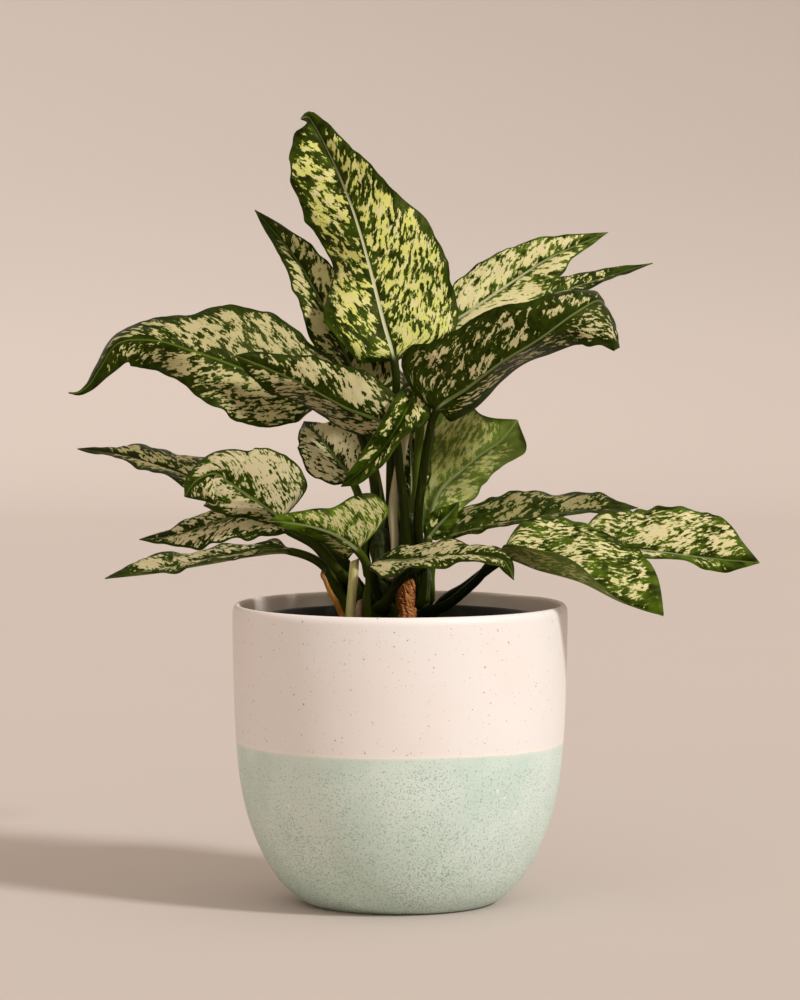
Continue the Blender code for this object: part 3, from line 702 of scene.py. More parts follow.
@dataclass(frozen=True)
class StemTissue(Finish):
    """Stem, stalk or dry sheath: two colours in long streaks."""

    dark: Colour = (0.009, 0.014, 0.001)
    light: Colour = (0.045, 0.066, 0.006)
    scale: float = 260.0
    stretch: float = 0.12
    roughness: float = 0.42
    depth: float = 0.0003
    spots: Colour | None = None
    black_above: float | None = None
    black: Colour = (0.010, 0.008, 0.006)
    black_fade: float = 1.5

    def material(self) -> bpy.types.Material:
        """Makes the stem's or stalk's finish, with a tip that dried black where it has one.

        Returns:
            The material.
        """
        wires, shader = self.start(IOR=1.45, Specular_IOR_Level=0.3)
        spot = wires.spot()
        fibre = wires.group(self.shared.fibre, Vector=spot, Scale=self.scale, Stretch=self.stretch)
        streak = fibre.outputs[0]
        colour = wires.mix(wires.remap(streak, 0.3, 0.7), self.dark, self.light)
        if self.spots:
            colour = self.specked(wires, spot, colour, Specks(420.0, 0.30, 0.35, self.spots, 0.70))
        if self.black_above:
            low, high = [(self.black_above + way * self.black_fade) * MM for way in (-1, 1)]
            colour = wires.mix(wires.remap(wires.parts(spot)[2], low, high), colour, self.black)
        rough = wires.remap(streak, 0.3, 0.7, self.roughness + 0.1, self.roughness - 0.05)
        grain = wires.group(self.shared.grain, Vector=spot, Scale=900.0, Sharp=0.2).outputs[0]
        height = wires.scaled(grain, 0.3, streak)
        return self.end(wires, shader, colour, rough, height, self.depth)


class LeafWiring(Wiring):
    """The wiring of the leaves' material, with the notes that the leaf meshes carry.

    The note vein holds the distance out along the side vein and the place where that vein
    leaves the midrib, in centimetres, and the leaf's own number. The note zone holds the
    distances from the margin and from the midrib in millimetres, and the share of the way
    to the tip. The note part holds the share of blade, the underside, and the petiole's
    tone. The note tone holds the leaf's green, yellow and pale rib, and the note light the
    share of light on its cream, which below 1 darkens the cream with painted shade where
    the leaf stands in shade, how fresh its green, and how fine its flecks.
    """

    def __init__(self, tree: bpy.types.NodeTree) -> None:
        """Reads the notes.

        Args:
            tree: the material's node tree.
        """
        super().__init__(tree)
        self.place = self.spot()
        self.vein = self.note("vein").outputs["Vector"]
        self.margin, self.rib, self.along = self.parts(self.note("zone").outputs["Vector"])
        self.blade, self.underside, self.tone = self.parts(self.note("part").outputs["Vector"])
        self.green, self.yellow, self.pale_rib = self.parts(self.note("tone").outputs["Vector"])
        self.bright, self.fresh, self.fine = self.parts(self.note("light").outputs["Vector"])
        self.drawn = self.stretched(self.vein, (0.46, 1.0, 1.0))
        self.small = self.noise(self.drawn, 10.0)


@dataclass(frozen=True)
class LeafTissue(Finish):
    """Dark green blade flecked with cream along its side veins, and its petiole."""

    deep: Colour = (0.0060, 0.0115, 0.0005)
    green: Colour = (0.018, 0.031, 0.0013)
    fresh_green: Colour = (0.085, 0.15, 0.007)
    edge_green: Colour = (0.18, 0.25, 0.028)
    cream: Colour = (0.69, 0.61, 0.375)
    lime: Colour = (0.61, 0.625, 0.13)
    # Painted shade: the darker cream of a fleck on a leaf that stands in shade.
    painted_shade_cream: Colour = (0.22, 0.185, 0.075)
    rib_green: Colour = (0.075, 0.115, 0.010)
    rib_pale: Colour = (0.58, 0.58, 0.36)
    petiole_dark: Colour = (0.007, 0.012, 0.0006)
    petiole_green: Colour = (0.06, 0.09, 0.008)
    petiole_pale: Colour = (0.54, 0.46, 0.29)
    under: Colour = (0.19, 0.255, 0.048)

    def over(self, leaf: LeafWiring) -> bpy.types.NodeSocket:
        """How far the pattern stands over the bar that a cream fleck has to clear.

        The bar is higher at the margin, the midrib and both ends, and on greener leaves.

        Args:
            leaf: the material's wiring.

        Returns:
            A value above 0 in the flecks and below 0 between them.
        """
        flecks = leaf.noise(leaf.drawn, leaf.scaled(leaf.fine, 3.6, 3.4), 4.0, 0.6)
        value = leaf.scaled(leaf.noise(leaf.vein, 0.8), 0.52, leaf.scaled(leaf.small, 0.22, flecks))
        ragged = leaf.scaled(leaf.noise(leaf.vein, 1.7), 8.0, -4.0)
        from_margin = leaf.scaled(ragged, 0.65, leaf.margin)
        bar = leaf.scaled(leaf.green, 0.22, 0.775)
        for rise in (
                leaf.remap(from_margin, -1.0, 7.0, leaf.scaled(leaf.green, 0.26, 0.05), 0.0),
                leaf.remap(leaf.margin, 0.2, 1.5, 0.4, 0.0),
                leaf.remap(leaf.math("ADD", leaf.rib, ragged), -0.5, 5.0, 0.17, 0.0),
                leaf.times(leaf.green, leaf.remap(leaf.along, 0.80, 0.96, 0.0, 0.46)),
                leaf.remap(leaf.along, 0.0, 0.06, 0.10, 0.0)):
            bar = leaf.math("ADD", bar, rise)
        return leaf.math("SUBTRACT", value, bar)

    def ground(self, leaf: LeafWiring, over: Wire) -> bpy.types.NodeSocket:
        """The greens between the flecks, which are brightest round a fleck.

        Args:
            leaf: the material's wiring.
            over: how far the pattern stands over the bar.

        Returns:
            Their colour.
        """
        colour = leaf.mix(leaf.remap(leaf.noise(leaf.vein, 2.2, 3.0), 0.3, 0.7), self.deep, self.green)
        lush = leaf.times(leaf.fresh, leaf.remap(leaf.noise(leaf.drawn, 1.5), 0.36, 0.70))
        colour = leaf.mix(lush, colour, self.fresh_green)
        halo = leaf.remap(over, leaf.scaled(leaf.fresh, -0.09, -0.035), -0.002, 0.0, 0.75)
        return leaf.mix(halo, colour, self.edge_green)

    def flecks(self, leaf: LeafWiring) -> bpy.types.NodeSocket:
        """The cream of the flecks, yellow-green in places, and darkened by painted shade on leaves that stand
        in shade.

        Args:
            leaf: the material's wiring.

        Returns:
            Its colour.
        """
        limes = leaf.remap(leaf.noise(leaf.vein, 1.3), 0.25, 0.65, 0.3, 1.0)
        colour = leaf.mix(leaf.times(leaf.yellow, limes), self.cream, self.lime)
        colour = leaf.mix(leaf.remap(leaf.small, 0.55, 0.75, 0.0, 0.25), colour, self.edge_green)
        # Painted shade: the cream turns towards the shaded cream as the leaf's share of light falls.
        return leaf.mix(leaf.math("SUBTRACT", 1.0, leaf.bright), colour, self.painted_shade_cream)

    def face(self, leaf: LeafWiring, over: Wire) -> bpy.types.NodeSocket:
        """The blade with its midrib, greyer green on the underside.

        Args:
            leaf: the material's wiring.
            over: how far the pattern stands over the bar.

        Returns:
            Its colour.
        """
        soft = leaf.scaled(leaf.fresh, 0.014, leaf.scaled(leaf.underside, 0.09, 0.018))
        filled = leaf.remap(over, leaf.times(soft, -1.0), soft)
        colour = leaf.mix(filled, self.ground(leaf, over), self.flecks(leaf))
        rib_width = leaf.scaled(leaf.along, -1.1, 1.45)
        on_rib = leaf.remap(leaf.math("DIVIDE", leaf.rib, rib_width), 0.55, 1.0, 1.0, 0.0)
        paleness = leaf.times(leaf.pale_rib, leaf.remap(leaf.along, 0.45, 0.85, 1.0, 0.25))
        colour = leaf.mix(on_rib, colour, leaf.mix(paleness, self.rib_green, self.rib_pale))
        return leaf.mix(leaf.times(leaf.underside, 0.43), colour, self.under)

    def petiole(self, leaf: LeafWiring) -> bpy.types.NodeSocket:
        """The petiole, from dark through green to pale by its tone.

        Args:
            leaf: the material's wiring.

        Returns:
            Its colour.
        """
        colour = leaf.mix(leaf.remap(leaf.tone, 0.0, 0.5), self.petiole_dark, self.petiole_green)
        colour = leaf.mix(leaf.remap(leaf.tone, 0.5, 1.0), colour, self.petiole_pale)
        streak = leaf.group(self.shared.fibre, Vector=leaf.place, Scale=240.0, Stretch=0.15).outputs[0]
        return leaf.mix(leaf.remap(streak, 0.52, 0.72, 0.0, 0.25), colour, self.petiole_green)

    def relief(self, leaf: LeafWiring, over: Wire) -> bpy.types.NodeSocket:
        """Fine cross veins and pores, with a small step at each fleck.

        Args:
            leaf: the material's wiring.
            over: how far the pattern stands over the bar.

        Returns:
            Its height.
        """
        threads = leaf.noise(leaf.stretched(leaf.vein, (0.12, 1.0, 1.0)), 26.0, 2.0, 0.6)
        pores = leaf.group(self.shared.grain, Vector=leaf.place, Scale=2200.0, Sharp=0.3).outputs[0]
        height = leaf.scaled(pores, 0.12, leaf.times(threads, 0.9))
        return leaf.scaled(leaf.remap(over, -0.02, 0.02), 0.08, height)

    def material(self) -> bpy.types.Material:
        """Makes the one finish that all leaves share.

        Returns:
            The material.
        """
        wires, shader = self.start(IOR=1.45, Specular_IOR_Level=0.13, Specular_Tint=(1.0, 0.95, 0.3, 1.0))
        leaf = LeafWiring(wires.tree)
        over = self.over(leaf)
        colour = leaf.mix(leaf.blade, self.petiole(leaf), self.face(leaf, over))
        rough = leaf.remap(leaf.noise(leaf.vein, 2.5), 0.3, 0.7, 0.36, 0.46)
        rough = leaf.scaled(leaf.underside, 0.16, rough)
        return self.end(leaf, shader, colour, rough, self.relief(leaf, over), 0.00016)


@dataclass
class CoverPot:
    """The ceramic pot: a bowl with a flat foot, a straight wall and a round lip."""

    height: float = 170.0
    wall: float = 4.0
    lip_reach: float = 2.6
    lip_drop: float = 4.6
    floor: float = 7.0
    floor_radius: float = 50.0
    outline: Outline = field(default_factory=lambda: [
        (95.0, 158.0), (94.4, 125.0), (93.0, 92.0), (90.2, 66.0), (85.4, 46.0), (80.0, 32.0),
        (72.0, 17.5), (63.5, 7.5), (57.0, 2.4), (52.0, 0.0)])
    stations: int = 64
    steps: int = 160
    lip_points: int = 21
    unevenness: float = 0.22
    foot: Outline = field(default_factory=lambda: [(50.5, 0.0), (48.0, 0.9), (20.0, 1.1), (0.0, 1.1)])

    def outer_wall(self) -> np.ndarray:
        """Follows the outer side, from under the lip to the foot.

        Returns:
            Radius and height of each point.
        """
        points = np.array(self.outline)
        knots = run_length(points)
        return smooth(knots, points, np.linspace(0, knots[-1], self.stations))

    def profile(self) -> Outline:
        """The whole outline, from the middle of the floor over the lip to the middle of the foot.

        Returns:
            Radius and height of each point.
        """
        outer = self.outer_wall()
        edge = outer[0][0]
        turn = np.linspace(math.pi, 0, self.lip_points)
        outwards = np.cos(turn) > 0
        reach = np.where(outwards, self.lip_reach, self.wall - self.lip_reach)
        drop = np.where(outwards, self.lip_drop, self.lip_drop / 2)
        lip = np.column_stack([edge - self.lip_reach + reach * np.cos(turn),
                               self.height - drop + drop * np.sin(turn)])
        under_lip = self.height - self.lip_drop - 1.0
        kept = (outer[:, 1] > self.floor + self.wall) & (outer[:, 0] > self.floor_radius + 2 * self.wall)
        inner = outer[kept][::-1] - [self.wall, 0]
        floor = [(self.floor_radius * share, self.floor) for share in (0.0, 0.5, 1.0)]
        corner = (self.floor_radius + 6.0, self.floor + 0.7)
        rows = [*floor, corner, *inner, (edge - self.wall, under_lip), *lip, (edge, under_lip), *outer,
                *self.foot]
        return [(float(wide), float(high)) for wide, high in rows]

    def build(self, finish: TwoToneGlaze) -> None:
        """Turns the pot, lets its wall sway a little as thrown ware does, and glazes it.

        Args:
            finish: its glaze.
        """
        obj = Workbench.turned("glazed_cover_pot", self.profile(), self.steps)
        spots = Workbench.spots(obj)
        high = spots[:, 2]
        wide = np.linalg.norm(spots[:, :2], axis=1)
        wall = self.outer_wall()[::-1]
        middle = np.interp(high, wall[:, 1], wall[:, 0]) - self.wall / 2
        Workbench.note(obj, "inside", (wide < middle) & (high > self.floor / 2))
        sway = lumps(spots * [1, 1, 0.6], 70.0, 2) * self.unevenness * ease(high / 30.0)
        spots[:, :2] *= 1 + (sway / np.maximum(wide, 1.0))[:, None]
        Workbench.move(obj, spots)
        Workbench.smoothed(obj, 40.0)
        place(obj, finish.material(), Slot.GLAZE, "ceramic_pot")


@dataclass
class GrowPot:
    """The thin plastic pot inside, with a rolled rim and holes in its floor."""

    foot_radius: float = 46.0
    neck_radius: float = 78.4
    base: float = 7.3
    top: float = 163.0
    wall: float = 1.2
    rim_reach: float = 1.8
    rim_drop: float = 5.0
    holes: int = 6
    hole_radius: float = 5.0
    hole_circle: float = 31.0
    floor_thick: float = 1.6
    stations: int = 26
    steps: int = 144

    def outer(self, height: float) -> float:
        """The outer radius of the wall at a height."""
        share = (height - self.base) / (self.top - self.base)
        return self.foot_radius + (self.neck_radius - self.foot_radius) * share

    def drain(self, pot: bpy.types.Object) -> None:
        """Cuts the ring of holes through the floor.

        Args:
            pot: the turned pot.
        """
        for turn in np.arange(self.holes) * TURN / self.holes:
            middle = Vector((math.cos(turn), math.sin(turn), 0.0)) * self.hole_circle
            Workbench.clear()
            bpy.ops.mesh.primitive_cylinder_add(vertices=32, radius=self.hole_radius * MM, depth=8 * MM,
                                                location=(middle + Vector((0, 0, self.base))) * MM)
            drill = bpy.context.object
            bpy.context.view_layer.objects.active = pot
            cut = pot.modifiers.new("drain", "BOOLEAN")
            cut.operation, cut.object = "DIFFERENCE", drill
            bpy.ops.object.modifier_apply(modifier=cut.name)
            bpy.data.objects.remove(drill)

    def profile(self) -> Outline:
        """The whole outline, from the middle of the floor over the rolled rim to the middle of the base.

        Returns:
            Radius and height of each point.
        """
        floor = self.base + self.floor_thick
        edge = self.neck_radius + self.rim_reach
        mouth = self.outer(self.top) - self.wall
        under = self.top - self.rim_drop
        inner_heights = np.linspace(floor + 1, self.top - 1.2, self.stations)
        outer_heights = np.linspace(under - 1, self.base + 1.5, self.stations)
        inner = [(self.outer(high) - self.wall, high) for high in inner_heights]
        rim = [(mouth + 0.3, self.top - 0.4), (mouth + 0.9, self.top), (edge - 0.8, self.top),
               (edge - 0.2, self.top - 0.3), (edge, self.top - 1.0), (edge, under + 0.4),
               (edge - 0.3, under), (self.outer(under) + 0.2, under)]
        wall = [(self.outer(high), high) for high in outer_heights]
        low = [(self.foot_radius - 0.4, self.base + 0.3), (self.foot_radius - 1.5, self.base),
               (18.0, self.base), (0.0, self.base)]
        return [(0.0, floor), (24.0, floor), (self.foot_radius - 3, floor), *inner, *rim, *wall, *low]

    def build(self, finish: MouldedPlastic) -> None:
        """Turns the pot and drills its floor.

        Args:
            finish: its plastic.
        """
        obj = Workbench.turned("plastic_grow_pot", self.profile(), self.steps)
        self.drain(obj)
        Workbench.smoothed(obj, 40.0)
        place(obj, finish.material(), Slot.PLASTIC, "grow_pot")


@dataclass(frozen=True)
class Crumbs:
    """One kind of crumb on the soil.

    Sizes are the smallest and the largest radius. Flatness is a crumb's height as a share of its
    length, sharpness how far it is from round, and sunk the share of its height in the soil.
    """

    name: str
    count: int
    sizes: tuple[float, float]
    flatness: float
    fineness: int
    sharpness: float
    seed: int
    sunk: float


@dataclass
class SoilBed:
    """The potting soil: a crumbly bed with bark, peat and perlite on top."""

    top: float = 153.5
    radius: float = 74.5
    bottom: float = 9.5
    bottom_radius: float = 44.6
    relief: float = 2.1
    rings: int = 64
    steps: int = 170
    stem_heap: float = 1.6
    edge_dip: float = 1.4
    bare_edge: float = 2.5
    stems: list[Point] = field(default_factory=list)

    def level(self, x: np.ndarray, y: np.ndarray) -> np.ndarray:
        """The height of the top, which is lumpy, heaped round the stems and lower at the edge.

        Args:
            x: the places' distances to the right.
            y: their distances to the back.

        Returns:
            One height for each place.
        """
        spots = np.stack([x, y, np.zeros_like(x)], axis=-1)
        lumpy = lumps(spots, 16.0, 4) * self.relief + lumps(spots + 50.0, 3.4, 2) * 0.55
        away = np.hypot(x, y) / self.radius
        heaps = sum(
            self.stem_heap * np.exp(-((x - stem_x) ** 2 + (y - stem_y) ** 2) / (2 * (radius + 5) ** 2))
            for stem_x, stem_y, radius in self.stems)
        dip = self.edge_dip * ease((away - 0.86) / 0.14)
        return self.top + lumpy * ease((1.0 - away) * 8.0) + heaps - dip

    @staticmethod
    def crumb(kind: Crumbs) -> bpy.types.Object:
        """Makes one crumb, from an icosphere pulled out of round.

        Args:
            kind: its kind.

        Returns:
            The crumb, a metre in radius.
        """
        Workbench.clear()
        bpy.ops.mesh.primitive_ico_sphere_add(subdivisions=kind.fineness, radius=1.0)
        obj = bpy.context.object
        dice = random.Random(SEED + int(kind.sharpness * 10))
        for vertex in obj.data.vertices:
            vertex.co *= 1.0 + dice.uniform(-kind.sharpness, kind.sharpness)
        return obj

    def scatter(self, kind: Crumbs, finish: Earth) -> None:
        """Scatters one kind of crumb over the bed, clear of the stems.

        Args:
            kind: the kind of crumb.
            finish: its finish.
        """
        dice = random.Random(kind.seed)
        spots, sized = [], []
        while len(spots) < kind.count:
            x, y = dice.uniform(-1, 1) * self.radius, dice.uniform(-1, 1) * self.radius
            in_stem = any(math.hypot(x - stem_x, y - stem_y) < radius
                          for stem_x, stem_y, radius in self.stems)
            if in_stem or math.hypot(x, y) > self.radius - self.bare_edge:
                continue
            spots.append((x, y))
            sized.append(dice.uniform(*kind.sizes) * dice.uniform(0.6, 1.0))
        heights = self.level(*np.array(spots).T)
        places = []
        for (x, y), high, size in zip(spots, heights, sized):
            scale = Vector((size, size * dice.uniform(0.5, 0.95),
                            size * kind.flatness * dice.uniform(0.7, 1.2)))
            turn = Vector((dice.uniform(-0.5, 0.5), dice.uniform(-0.3, 0.3), dice.uniform(0, TURN)))
            places.append((Vector((x, y, high + scale.z * (1 - 2 * kind.sunk))), scale, turn))
        obj = Workbench.copies(kind.name, self.crumb(kind), places, dice)
        Workbench.smoothed(obj, 30.0)
        place(obj, finish.material(), Slot.SOIL)

    def build(self, finish: Earth, crumbs: dict[Crumbs, Earth]) -> None:
        """Makes the bed and scatters its crumbs.

        Args:
            finish: the bed's finish.
            crumbs: the kinds of crumb, each with its finish.
        """
        outline = [(float(wide), self.top) for wide in np.linspace(0, self.radius, self.rings)]
        outline += [(self.radius, high) for high in np.linspace(self.top - 3, self.top - 12, 3)]
        outline += [(self.bottom_radius, self.bottom), (0.0, self.bottom)]
        obj = Workbench.turned("soil_bed", outline, self.steps)
        spots = Workbench.spots(obj)
        surface = spots[:, 2] > self.top - 0.1
        spots[surface, 2] = self.level(spots[surface, 0], spots[surface, 1])
        Workbench.move(obj, spots)
        Workbench.smoothed(obj)
        place(obj, finish.material(), Slot.SOIL, "soil")
        for kind, earth in crumbs.items():
            self.scatter(kind, earth)


@dataclass(frozen=True)
class Cane:
    """An upright stem with a ring at each old leaf scar."""

    name: str
    foot: tuple[float, float]
    radius: float
    top: float
    lean: tuple[float, float]
    soil_top: float = 153.5
    root_depth: float = 34.0
    ring: float = 1.05
    scar_step: float = 11.0
    first_scar: float = 5.5
    swell: float = 0.055
    cap: float = 6.0
    rows: int = 140
    sides: int = 40

    def centre(self, height: float) -> np.ndarray:
        """The middle of the cane at a height: plumb in the soil, leaning above it."""
        rise = max(0.0, (height - self.soil_top) / (self.top - self.soil_top)) ** 1.5
        return np.array([self.foot[0] + self.lean[0] * rise, self.foot[1] + self.lean[1] * rise, height])

    def radius_at(self, height: float) -> float:
        """The radius, with a swelling at each scar and a rounded top.

        Args:
            height: the place on the cane.

        Returns:
            The radius there.
        """
        scar = (height - self.soil_top - self.first_scar) % self.scar_step
        swelling = 1.0 + self.swell * math.exp(-(scar - 1.2) ** 2) - 0.03 * ease(scar / self.scar_step)
        cap = 1.0 - max(0.0, (height - self.top + self.cap) / self.cap) ** 2.2
        return self.radius * swelling * max(0.12, math.sqrt(max(0.0, cap)))

    def build(self, finish: bpy.types.Material) -> None:
        """Makes the cane's skin over its cross-sections.

        Args:
            finish: the canes' material.
        """
        heights = np.linspace(self.soil_top - self.root_depth, self.top, self.rows)
        turn = np.arange(self.sides) * TURN / self.sides
        rows = []
        for height in heights:
            ring = np.column_stack([np.cos(turn), np.sin(turn), np.zeros(self.sides)])
            rows.append(self.centre(height) + ring * self.radius_at(height))
        sections = np.array(rows)
        middle = np.array([self.centre(height) for height in heights])[:, None]
        sections += (sections - middle) * lumps(sections, 9.0, 3)[..., None] * 0.07
        obj = Workbench.wrapped(self.name + "_stem", sections)
        Workbench.smoothed(obj)
        place(obj, finish, Slot.STEM, self.name)


@dataclass(frozen=True)
class Stalk:
    """An old leaf stalk that is left in the soil: a tube through a few points."""

    name: str
    points: list[Point]
    foot_radius: float
    top_radius: float
    slot: Slot
    slant: float = 0.0
    shrivel: float = 0.04
    rows: int = 70
    sides: int = 28

    def build(self, finish: bpy.types.Material) -> None:
        """Makes the stalk's skin, shrivelled by its own measure and cut on the slant.

        Args:
            finish: its material.
        """
        points = np.array(self.points, float)
        knots = run_length(points)
        at = np.linspace(0, knots[-1], self.rows)
        middle = smooth(knots, points, at)
        ahead = unit(np.gradient(middle, axis=0))
        radii = np.interp(at / knots[-1], [0, 0.35, 1], [self.foot_radius, self.foot_radius, self.top_radius])
        turn = np.arange(self.sides) * TURN / self.sides
        upward = np.array([0.0, 1.0, 0.0])
        rows = []
        for spot, line, radius, share in zip(middle, ahead, radii, at / knots[-1]):
            upward = unit(upward - line * np.dot(upward, line))
            right = np.cross(upward, line)
            ring = np.cos(turn)[:, None] * right + np.sin(turn)[:, None] * upward
            ribs = 1 + self.shrivel * np.sin(5 * turn + 3 * share)[:, None]
            slide = line * np.cos(turn)[:, None] * self.slant * radius * ease((share - 0.8) / 0.2)
            rows.append(spot + ring * radius * ribs + slide)
        sections = np.array(rows)
        sections += (sections - middle[:, None]) * lumps(sections, 5.0, 3)[..., None] * self.shrivel * 2.5
        obj = Workbench.wrapped(self.name + "_piece", sections)
        Workbench.smoothed(obj, 50.0)
        place(obj, finish, self.slot, self.name)


@dataclass
class DrySheath:
    """The papery sheath that wraps the front of a cane, crumpled into folds."""

    cane: Cane
    bearings: tuple[float, float] = (-165.0, -42.0)
    foot: float = 153.0
    heights: list[float] = field(default_factory=lambda: [155.6, 161.0, 167.0, 173.0, 178.0, 182.0, 186.5])
    spread: list[float] = field(default_factory=lambda: [1.0, 1.0, 1.0, 0.96, 0.88, 0.76, 0.42])
    rows: int = 84
    columns: int = 64
    stand_off: float = 0.35
    fold: float = 1.0
    thick: float = 0.35

    def build(self, finish: bpy.types.Material) -> None:
        """Makes the sheath's skin from folds that run up it and creases that cross them.

        Args:
            finish: its material.
        """
        knots = np.array(self.heights)
        heights = np.linspace(self.foot, knots[-1], self.rows)
        spread = smooth(knots, self.spread, np.clip(heights, knots[0], None))[:, 0]
        middle = math.radians(sum(self.bearings) / 2)
        half = math.radians(self.bearings[1] - self.bearings[0]) / 2
        share = np.linspace(-1, 1, self.columns)
        turns = middle + half * spread[:, None] * share[None]
        level = np.repeat(heights[:, None], self.columns, 1)
        flat = np.stack([turns * self.cane.radius + 0.45 * level, np.zeros_like(turns), level], axis=-1)
        long_folds = 1 - np.abs(lumps(flat * [1, 1, 0.34], 2.1, 2)) * 2.4
        creases = 1 - np.abs(lumps(flat * [0.7, 1, 1.0] + 31.0, 1.5, 3)) * 2.2
        height = np.clip(0.55 * long_folds + 0.45 * creases, 0, 1) * self.fold
        base = self.cane.radius * self.cane.ring + self.stand_off
        curl = 0.5 * np.abs(share[None]) ** 6
        ragged = lumps(np.stack([share * 9, share * 0, share * 0], axis=-1), 1.6, 2)[None] * 1.6
        lift = ragged * ease((heights - 176.0) / 9.0)[:, None]
        rings = []
        for thick in (self.thick, 0.0):
            radius = base + height + curl + thick
            ring = np.stack([radius * np.cos(turns), radius * np.sin(turns), lift], axis=-1)
            rings.append(ring if thick else ring[:, ::-1])
        middles = np.array([self.cane.centre(height) for height in heights])[:, None]
        obj = Workbench.wrapped("papery_sheath", middles + np.concatenate(rings, axis=1))
        Workbench.smoothed(obj, 50.0)
        place(obj, finish, Slot.DRY_SHEATH, "dry_sheath")


@dataclass(frozen=True)
class LeafLook:
    """How one leaf is coloured: each value is a share from 0 to 1."""

    green: float = 0.45
    yellow: float = 0.3
    rib: float = 0.2
    petiole: float = 0.25
    # Painted shade: below 1, the leaf's cream is darkened towards a shaded cream, for a leaf that stands in
    # shade.
    bright: float = 1.0
    fresh: float = 0.2
    fine: float = 0.1


@dataclass(frozen=True)
class LeafPlan:
    """One leaf: its seat on a cane, the run of its petiole and midrib, and how its blade lies.

    The seat is a height and a bearing round the cane, with 0 at +X and 90 away from the viewer.
    Left and right are those of someone who looks along the upper side from base to tip. Each
    half is a list of the margin's reach from the midrib and its lift towards the upper side.
    """

    name: str
    cane: str
    seat: tuple[float, float]
    petiole: list[Point]
    midrib: list[Point]
    facing: list[Point]
    left: Outline
    right: Outline
    look: LeafLook = LeafLook()
    arch: float = 2.0
    ripple: Point = (1.2, 3.0, 0.0)
    lobe: float = 4.0


class Spine(NamedTuple):
    """The run of a petiole or midrib: its places, and the ways ahead, upward and to the right."""

    places: np.ndarray
    ahead: np.ndarray
    upward: np.ndarray
    rightward: np.ndarray


class Edges(NamedTuple):
    """The margins of a blade, with a row for each station along it and a column across it.

    Along is the share of the way to the tip and across that of the way out. Side is -1 on the
    left half and 1 on the right. Size is less than 1 where the blade is narrow.
    """

    along: np.ndarray
    across: np.ndarray
    side: np.ndarray
    reach: np.ndarray
    lift: np.ndarray
    size: np.ndarray
    wave: np.ndarray
    frill: np.ndarray


